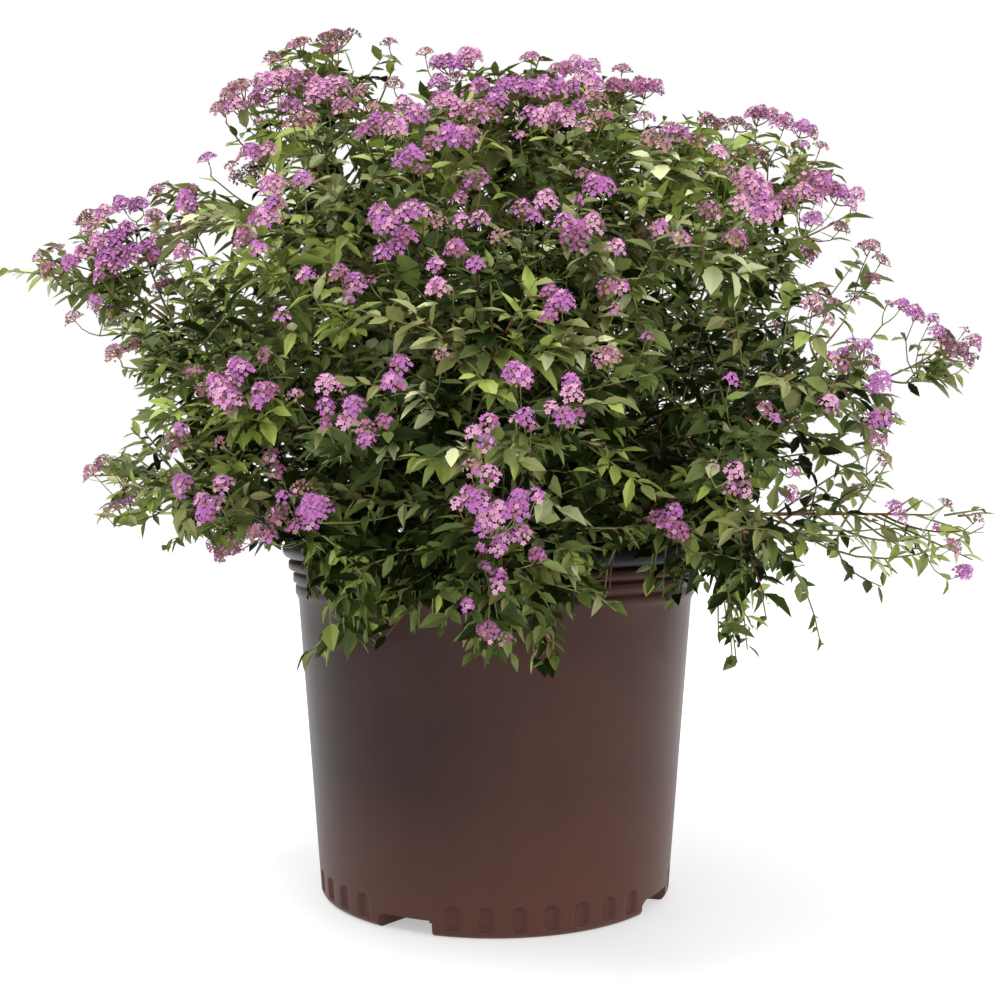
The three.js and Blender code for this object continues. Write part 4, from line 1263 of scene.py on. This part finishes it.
def deal_tint(growth, first, random, odds, shaded):
    """One leaf tint for a whole spray, from its first leaf on, with a few leaves in others; many leaves deep
    inside a mass take the darkest tint, as painted shade.
    """
    tint = random.choice(len(LEAF_TINTS), p=odds)
    for i, leaf in enumerate(growth.leaves[first:], first):
        own = tint if random.random() < SPRAY_TINT_SHARE else random.choice(len(LEAF_TINTS), p=odds)
        depth = leaf[-1]
        if depth < SHADED["depth"] and random.random() < shaded:
            own = PAINTED_DEEP_SHADE
        elif own == PAINTED_DEEP_SHADE and depth > SHADED["skin"]:
            own = PAINTED_SHADE
        growth.leaves[i] = (*leaf, own)


def clear_of_heads(growth):
    """The leaves, without those that would lie over a flower head."""
    roots, headings, _, sizes, _, _ = columns_of(growth.leaves)
    middles = roots + headings * sizes[:, None] / 2
    hiding = np.zeros(len(roots), dtype=bool)
    for base, facing, radius, _ in growth.heads:
        way = unit(facing + unit(base - HEART))
        offset = middles - base
        along = offset @ way
        across = np.linalg.norm(offset - along[:, None] * way, axis=1)
        above = (along > radius * HIDING["above"]) & (along < HIDING["reach"])
        hiding |= above & (across < radius * HIDING["share"] + HIDING["edge"])
    return [leaf for leaf, hides in zip(growth.leaves, hiding) if not hides]


def grow(masses):
    """All the growth, mass by mass: a shoot grows, and then its leaves get their tints."""
    growth = Growth()
    blooms_of = placed_blooms(masses)
    drapes_of = placed_drapes(masses)
    for mass in masses:
        random = np.random.default_rng(mass.seed)
        stem = np.array([mass.stem_point(t) for t in np.linspace(0, STEM["drawn"], 7)])
        growth.twigs.append((stem, STEM["start"], STEM["end"]))
        odds = LEAF_ODDS[mass.light]
        # Painted shade on the sprays over the lip of a plain mass.
        drape_odds = DRAPE_SHADE_ODDS if mass.light == "plain" else odds
        main, fine = MAIN_SHOOTS[mass.kind], FINE_SHOOTS[mass.kind]
        shoots = [(odds, grow_main_shoot, k, main) for k in range(main)]
        shoots += [(odds, grow_bloom_spray, blooms) for blooms in in_sprays(blooms_of[mass.name])]
        shoots += [(drape_odds, grow_drape, tip, pull) for tip, pull in drapes_of[mass.name]]
        shoots += [(odds, grow_fine_shoot, k, fine) for k in range(fine)]
        shoots += [(SHADE_ODDS, grow_inner_shoot, k) for k in range(INNER_SHOOTS)]
        for tint_odds, grow_shoot, *facts in shoots:
            first = len(growth.leaves)
            grow_shoot(mass, *facts, growth, random)
            deal_tint(growth, first, random, tint_odds, SHADED[mass.light])
    growth.leaves = clear_of_heads(growth)
    return growth


# ---- Limbs ----

def make_root_crown(random):
    """The short woody stem that all the canes rise from, ridged and knobbly."""
    radius, height = np.array(CROWN_PROFILE).T
    given = np.linspace(0, 1, len(CROWN_PROFILE))
    fine = np.linspace(0, 1, CROWN_MESH["rows"])
    profile = list(zip(np.interp(fine, given, radius), MIX_TOP + GAP + np.interp(fine, given, height)))
    points, faces = turned(profile, CROWN_MESH["columns"])
    angles = np.arctan2(points[:, 1], points[:, 0])
    sway = np.sin(angles * CROWN_RIDGES["sway"]) * CROWN_RIDGES["swing"]
    broad = np.sin(angles * CROWN_RIDGES["broad"] + sway + points[:, 2] * CROWN_RIDGES["twist"])
    fine_ridges = np.sin(angles * CROWN_RIDGES["fine"]) * CROWN_RIDGES["fine_share"]
    ridges = broad * CROWN_RIDGES["broad_share"] + fine_ridges
    grain = CROWN_RELIEF["grain"] * random.random(len(points))
    relief = CROWN_RELIEF["inset"] + CROWN_RELIEF["ridges"] * ridges + grain
    points -= unit(points * [1, 1, 0]) * relief[:, None]
    bark = bark_material("crown_bark", rgb(58, 40, 28), rgb(112, 84, 60), relief=0.0016)
    make_piece("woody_root_crown", points, faces, bark, "bark", ["root_crown"], smooth=True)


def cane_mesh(mass, random):
    """A cane with lengthwise ridges and a swelling at each bud."""
    steps, sides = CANE_MESH["steps"], CANE_MESH["sides"]
    t = np.linspace(0, 1, steps)
    line = np.array([mass.cane_point(v) for v in t])
    turns = random.uniform(*CANE_SWAY["turns"])
    sway = np.sin(t * math.pi * turns) * CANE_SWAY["reach"] * np.sin(t * math.pi)
    line += square_to(mass.axis)[0] * sway[:, None]
    buds = np.maximum(0, np.cos(t * math.pi * CANE_BUDS["rate"])) ** CANE_BUDS["sharpness"]
    radii = lerp(CANE["start"], CANE["end"], t) * (1 + CANE_BUDS["swelling"] * buds)
    points, faces = tube(line, radii, sides)
    centres = np.repeat(line, sides, axis=0)
    ridges = np.tile(np.sin(np.arange(sides) * CANE_RIDGES["rate"] + mass.seed), steps)
    grain = CANE_RIDGES["grain"] * random.normal(size=len(points))
    relief = 1 + CANE_RIDGES["depth"] * ridges + grain
    return centres + (points - centres) * relief[:, None], faces


def make_canes(masses, random):
    bark = bark_material("cane_bark", rgb(70, 44, 30), rgb(128, 92, 66), relief=0.0005)
    canes = joined([cane_mesh(mass, random) for mass in masses])
    make_piece("canes", *canes, bark, "bark", [f"cane_{mass.name}" for mass in masses], smooth=True)


TWIG_TONES = {  # dark and light
    "woody": (rgb(86, 54, 38), rgb(134, 92, 66)),
    "red": (rgb(92, 56, 40), rgb(132, 84, 58)),
    "green": (rgb(96, 104, 52), rgb(138, 140, 78)),
}
TWIG_RELIEF = 0.0002
TWIG_SIDES = {"woody": 5, "red": 3, "green": 3}


def twig_kind(index, start):
    """Woody where thick, and red or green where young: four in five are green, in a fixed order."""
    if start >= STEM["start"]:
        return "woody"
    return "green" if index * 7 % 5 < 4 else "red"


def make_twigs(growth, nodes):
    """The stems, shoots and twigs in the masses."""
    parts = {kind: [] for kind in TWIG_TONES}
    for index, (line, start, end) in enumerate(growth.twigs):
        kind = twig_kind(index, start)
        parts[kind].append(tube(line, np.linspace(start, end, len(line)), TWIG_SIDES[kind]))
    for kind, tones in TWIG_TONES.items():
        bark = bark_material(f"{kind}_twig", *tones, TWIG_RELIEF)
        make_piece(f"{kind}_twigs", *joined(parts[kind]), bark, "bark", nodes, smooth=True)


# ---- Leaves ----

# Painted light and shade: the two darkest tints are painted shade, dealt to leaves deep in the masses, to the
# inner shoots and to the sprays under the crown, and the lighter tints are dealt more in the sunny and side
# masses.
LEAF_TINTS = {  # colour, and how much it shines
    "painted_deep_shade": (rgb(31, 42, 12), 0.06),
    "shade": (rgb(67, 81, 34), 0.2),
    "mid": (rgb(105, 119, 58), 0.34),
    "olive": (rgb(132, 135, 80), 0.34),
    "fresh": (rgb(149, 165, 78), 0.34),
    "pale": (rgb(190, 196, 148), 0.34),
}
PAINTED_DEEP_SHADE, PAINTED_SHADE = 0, 1  # places in LEAF_TINTS of the two painted-shade tints
LEAF_ODDS = {  # of each tint, by how much light a mass has
    "plain": [0.17, 0.28, 0.3, 0.13, 0.09, 0.03],
    "sunny": [0.03, 0.11, 0.29, 0.23, 0.22, 0.12],
    "side": [0.02, 0.08, 0.25, 0.25, 0.26, 0.14],
}
# Painted shade: the inner shoots in the heart of the shrub take mostly the darkest tints.
SHADE_ODDS = [0.7, 0.25, 0.05, 0, 0, 0]
# Painted shade: sprays of a plain mass that hang over the lip, under the crown, take darker tints.
DRAPE_SHADE_ODDS = [0.22, 0.4, 0.26, 0.02, 0.1, 0]
SPRAY_TINT_SHARE = 0.72
# Painted shade: the deepest tint lies mostly inside a mass, in these shares of its leaves, and never near its
# skin.
SHADED = {"depth": 0.5, "skin": 0.8, "plain": 0.6, "sunny": 0.3, "side": 0.15}
LEAF_EDGE = [(0.1, 0.08), (0.27, 0.165), (0.33, 0.15), (0.5, 0.19), (0.56, 0.165), (0.78, 0.1)]
LEAF_MIDDLE = 0.45
LEAF_SHAPES = [  # fold along the rib, droop, breadth
    (0.32, 0.08, 1.12), (0.55, 0.24, 1.0), (0.2, 0.0, 1.2), (0.42, 0.38, 1.1), (0.28, 0.12, 1.55),
    (0.36, 0.2, 1.35),
]


def leaf_template(fold, droop, breadth):
    """A toothed leaf of unit length, folded along its rib and bent down, as two fans about its middle."""
    right = [(u, w * breadth) for u, w in LEAF_EDGE]
    flat = [(0.0, 0.0), (1.0, 0.0), (LEAF_MIDDLE, 0.0)] + right + [(u, -w) for u, w in right]
    points = np.array([(u, w, abs(w) * fold - droop * u * u) for u, w in flat])
    base, tip, middle, first = range(4)
    faces = []
    for side in range(2):
        border = [base, *range(first + side * len(right), first + (side + 1) * len(right)), tip]
        faces += [(middle, a, b) if side else (middle, b, a) for a, b in zip(border, border[1:])]
    return points, np.array(faces)


def make_leaves(growth, nodes):
    templates = [leaf_template(*shape) for shape in LEAF_SHAPES]
    roots, headings, faces, sizes, _, tints = columns_of(growth.leaves)
    sides = unit(np.cross(faces, headings))
    places = (roots, headings, sides, np.cross(headings, sides), sizes)
    shapes = np.arange(len(roots)) * 7 % 11 % len(templates)  # in a fixed order that looks mixed
    for tint, (name, (colour, shine)) in enumerate(LEAF_TINTS.items()):
        parts = [
            chosen_copies(template, places, (tints == tint) & (shapes == shape))
            for shape, template in enumerate(templates)
        ]
        material = leaf_material(f"leaf_{name}", colour, shine)
        make_piece(f"leaves_{name}", *joined(parts), material, "foliage", nodes)


# ---- Flower heads ----

PETAL_TINTS = {
    "orchid": rgb(176, 102, 172),
    "lilac": rgb(210, 153, 184),
    "rose": rgb(152, 83, 123),
    "mauve": rgb(158, 114, 114),
    "dusk": rgb(104, 68, 74),
}
OPEN_TINTS = 3  # the first ones are of open florets, and the rest are of buds and of florets past their best
HEAD_MIXES = {  # of each tint, by age
    "fresh": [0.46, 0.24, 0.22, 0.05, 0.03],
    "full": [0.3, 0.4, 0.17, 0.09, 0.04],
    "fading": [0.07, 0.11, 0.2, 0.4, 0.22],
    "budding": [0.05, 0.06, 0.16, 0.4, 0.33],
}
HEAD_ODDS = [0.42, 0.26, 0.17, 0.15]  # of each age, for heads that come by rule
HEAD_FULLNESS = {"fresh": 1.0, "full": 1.0, "fading": 0.8, "budding": 0.55}  # how high and thick a dome is
HEAD_STALK = 0.62  # of a head's radius
DOME_RADIUS = 0.0064
DOMES = {"crowding": 1.2, "inset": 0.6, "droop": 0.28, "lump": 0.0018, "lean": 0.5, "size": (0.8, 1.08)}
STALK = {"foot": 0.3, "knee": 0.55, "sag": 0.0006, "radii": (0.0006, 0.0005, 0.0004)}
PEDICEL = {"every": 3, "foot": 0.3, "radii": (0.0003, 0.0002)}
MAIN_TINT_SHARE = 0.55
FLORETS = {
    "least": 6, "crowding": 2.1, "thinnest": 0.5, "first": 0.4, "high": 0.85, "fall": 1.15, "flare": 1.5,
    "scatter": 0.34,
}
FLORET_RADIUS = 0.00162
FLORET_SIZE = (0.78, 1.12)
PETAL_EDGE = ((0.62, -0.40, 0.14), (1.1, 0.0, 0.34), (0.62, 0.40, 0.14))  # along, across, height
STAMENS = ((1.35, 0.62), (1.05, 0.74), (1.35, 0.62))  # height and lean of the tips
STAMEN_TURN = 0.4
STAMEN_FOOT = {"half_width": 0.05, "turn": 1.5}
BUD_RADIUS = 0.0010
BUD_SIZE = (0.7, 1.2)
BUD_SHARE = 0.6  # of the florets in the later tints
BUD_FORM = {"foot": -0.4, "waist": 0.35, "tip": 1.1}
OFF_AXIS = np.array([0.31, 0.59, 0.74])  # along none of the florets, to square them up by


def floret_template():
    """Five petals cupped about a small eye, two triangles each."""
    points, faces = [(0, 0, 0)], []
    for petal in range(5):
        turn = petal * 2 * math.pi / 5
        first = len(points)
        for along, across, height in PETAL_EDGE:
            x = along * math.cos(turn) - across * math.sin(turn)
            y = along * math.sin(turn) + across * math.cos(turn)
            points.append((height, x, y))
        faces += [(0, first, first + 1), (0, first + 1, first + 2)]
    return np.array(points), np.array(faces)


def stamen_template():
    """Thin stamens, one triangle each, that stand out of a floret."""
    points, faces = [], []
    for i, (height, lean) in enumerate(STAMENS):
        turn = i * 2 * math.pi / len(STAMENS) + STAMEN_TURN
        y = STAMEN_FOOT["half_width"] * math.cos(turn + STAMEN_FOOT["turn"])
        z = STAMEN_FOOT["half_width"] * math.sin(turn + STAMEN_FOOT["turn"])
        faces.append(tuple(len(points) + corner for corner in range(3)))
        points += [(0, y, z), (0, -y, -z), (height, lean * math.cos(turn), lean * math.sin(turn))]
    return np.array(points), np.array(faces)


def bud_template():
    ring = [(BUD_FORM["waist"], math.cos(a), math.sin(a)) for a in np.arange(4) * math.pi / 2]
    points = np.array([(BUD_FORM["foot"], 0, 0), *ring, (BUD_FORM["tip"], 0, 0)])
    foot, tip = 0, 5
    lower = [(foot, 1 + (i + 1) % 4, 1 + i) for i in range(4)]
    upper = [(tip, 1 + i, 1 + (i + 1) % 4) for i in range(4)]
    return points, np.array(lower + upper)


class Florets:
    """The places of the florets, buds and stalks of all the flower heads."""

    def __init__(self):
        self.places = []
        self.buds = []
        self.stalks = []
        self.pedicels = []

    def add_head(self, tip, facing, radius, age, random):
        """Small domes of florets side by side, each on a stalk from the shoot's tip."""
        age = age or random.choice(list(HEAD_MIXES), p=HEAD_ODDS)
        main_tint = random.choice(len(PETAL_TINTS), p=HEAD_MIXES[age])
        side, rise = square_to(facing)
        dome = min(radius, DOME_RADIUS)
        count = max(1, round(DOMES["crowding"] * (radius / dome) ** 2))
        stalk = radius * HEAD_STALK
        for i in range(count):
            reach = (radius - dome * DOMES["inset"]) * math.sqrt(i / max(1, count - 1))
            turn = i * GOLDEN_ANGLE + random.random()
            drop = DOMES["droop"] * reach**2 / radius
            lump = random.uniform(-DOMES["lump"], DOMES["lump"])
            across = round_axis(side, rise, turn)
            centre = tip + facing * (stalk - drop + lump) + across * reach
            foot = centre - facing * min(stalk, dome) * STALK["foot"]
            knee = lerp(tip, foot, STALK["knee"]) - facing * STALK["sag"]
            self.stalks.append(np.array([tip, knee, foot]))
            lean = unit(facing + across * reach / radius * DOMES["lean"])
            self.add_dome(centre, lean, dome * random.uniform(*DOMES["size"]), age, main_tint, random)

    def add_dome(self, centre, facing, radius, age, main_tint, random):
        """Florets and buds over a small dome, from its top out to its rim."""
        mix, fullness = HEAD_MIXES[age], HEAD_FULLNESS[age]
        side, rise = square_to(facing)
        crowding = FLORETS["crowding"] * lerp(FLORETS["thinnest"], 1, fullness)
        count = max(FLORETS["least"], round(crowding * (radius / FLORET_RADIUS) ** 2))
        for i in range(count):
            spread = math.sqrt((i + FLORETS["first"]) / count)
            across = round_axis(side, rise, i * GOLDEN_ANGLE)
            height = FLORETS["high"] - FLORETS["fall"] * spread**2
            place = centre + across * radius * spread + facing * radius * fullness * height
            if i % PEDICEL["every"] == PEDICEL["every"] - 1:
                self.pedicels.append((centre - facing * radius * PEDICEL["foot"], place))
            scatter = random.normal(size=3) * FLORETS["scatter"]
            out = unit(facing + across * spread * FLORETS["flare"] + scatter)
            tint = main_tint if random.random() < MAIN_TINT_SHARE else random.choice(len(mix), p=mix)
            if tint >= OPEN_TINTS and random.random() < BUD_SHARE:
                self.buds.append((place, out, BUD_RADIUS * random.uniform(*BUD_SIZE), tint))
            else:
                self.places.append((place, out, FLORET_RADIUS * random.uniform(*FLORET_SIZE), tint))


def squared_up(rows):
    """Places as chosen_copies() takes them, and their tints."""
    roots, outs, sizes, tints = columns_of(rows)
    sides = unit(np.cross(outs, OFF_AXIS))
    return (roots, outs, sides, np.cross(outs, sides), sizes), tints


def make_flowers(growth, nodes):
    random = np.random.default_rng(SEED)
    florets = Florets()
    for head in growth.heads:
        florets.add_head(*head, random)
    places, tints = squared_up(florets.places)
    bud_places, bud_tints = squared_up(florets.buds)
    for tint, (name, colour) in enumerate(PETAL_TINTS.items()):
        open_ones = chosen_copies(floret_template(), places, tints == tint)
        buds = chosen_copies(bud_template(), bud_places, bud_tints == tint)
        petals = joined([open_ones, buds])
        make_piece(f"petals_{name}", *petals, petal_material(f"petal_{name}", colour), "foliage", nodes)
    stamens = chosen_copies(stamen_template(), places, tints < OPEN_TINTS)
    make_piece("stamens", *stamens, petal_material("stamen", rgb(206, 132, 194)), "foliage", nodes)
    make_stalks(florets, nodes)


def make_stalks(florets, nodes):
    stalks = [tube(line, STALK["radii"], 3) for line in florets.stalks]
    stalks += [tube(np.array(ends), PEDICEL["radii"], 3) for ends in florets.pedicels]
    skin = bark_material("stalk", rgb(110, 92, 56), rgb(150, 122, 78), relief=0.0002)
    make_piece("flower_stalks", *joined(stalks), skin, "bark", nodes)


# ---- The whole plant ----

set_stage()
make_pot()
make_mix(np.random.default_rng(SEED))
all_masses = lay_out()
foliage_nodes = [f"foliage_{mass.name}" for mass in all_masses]
make_root_crown(np.random.default_rng(SEED + 1))
make_canes(all_masses, np.random.default_rng(SEED + 2))
all_growth = grow(all_masses)
make_twigs(all_growth, foliage_nodes)
make_leaves(all_growth, foliage_nodes)
make_flowers(all_growth, foliage_nodes)
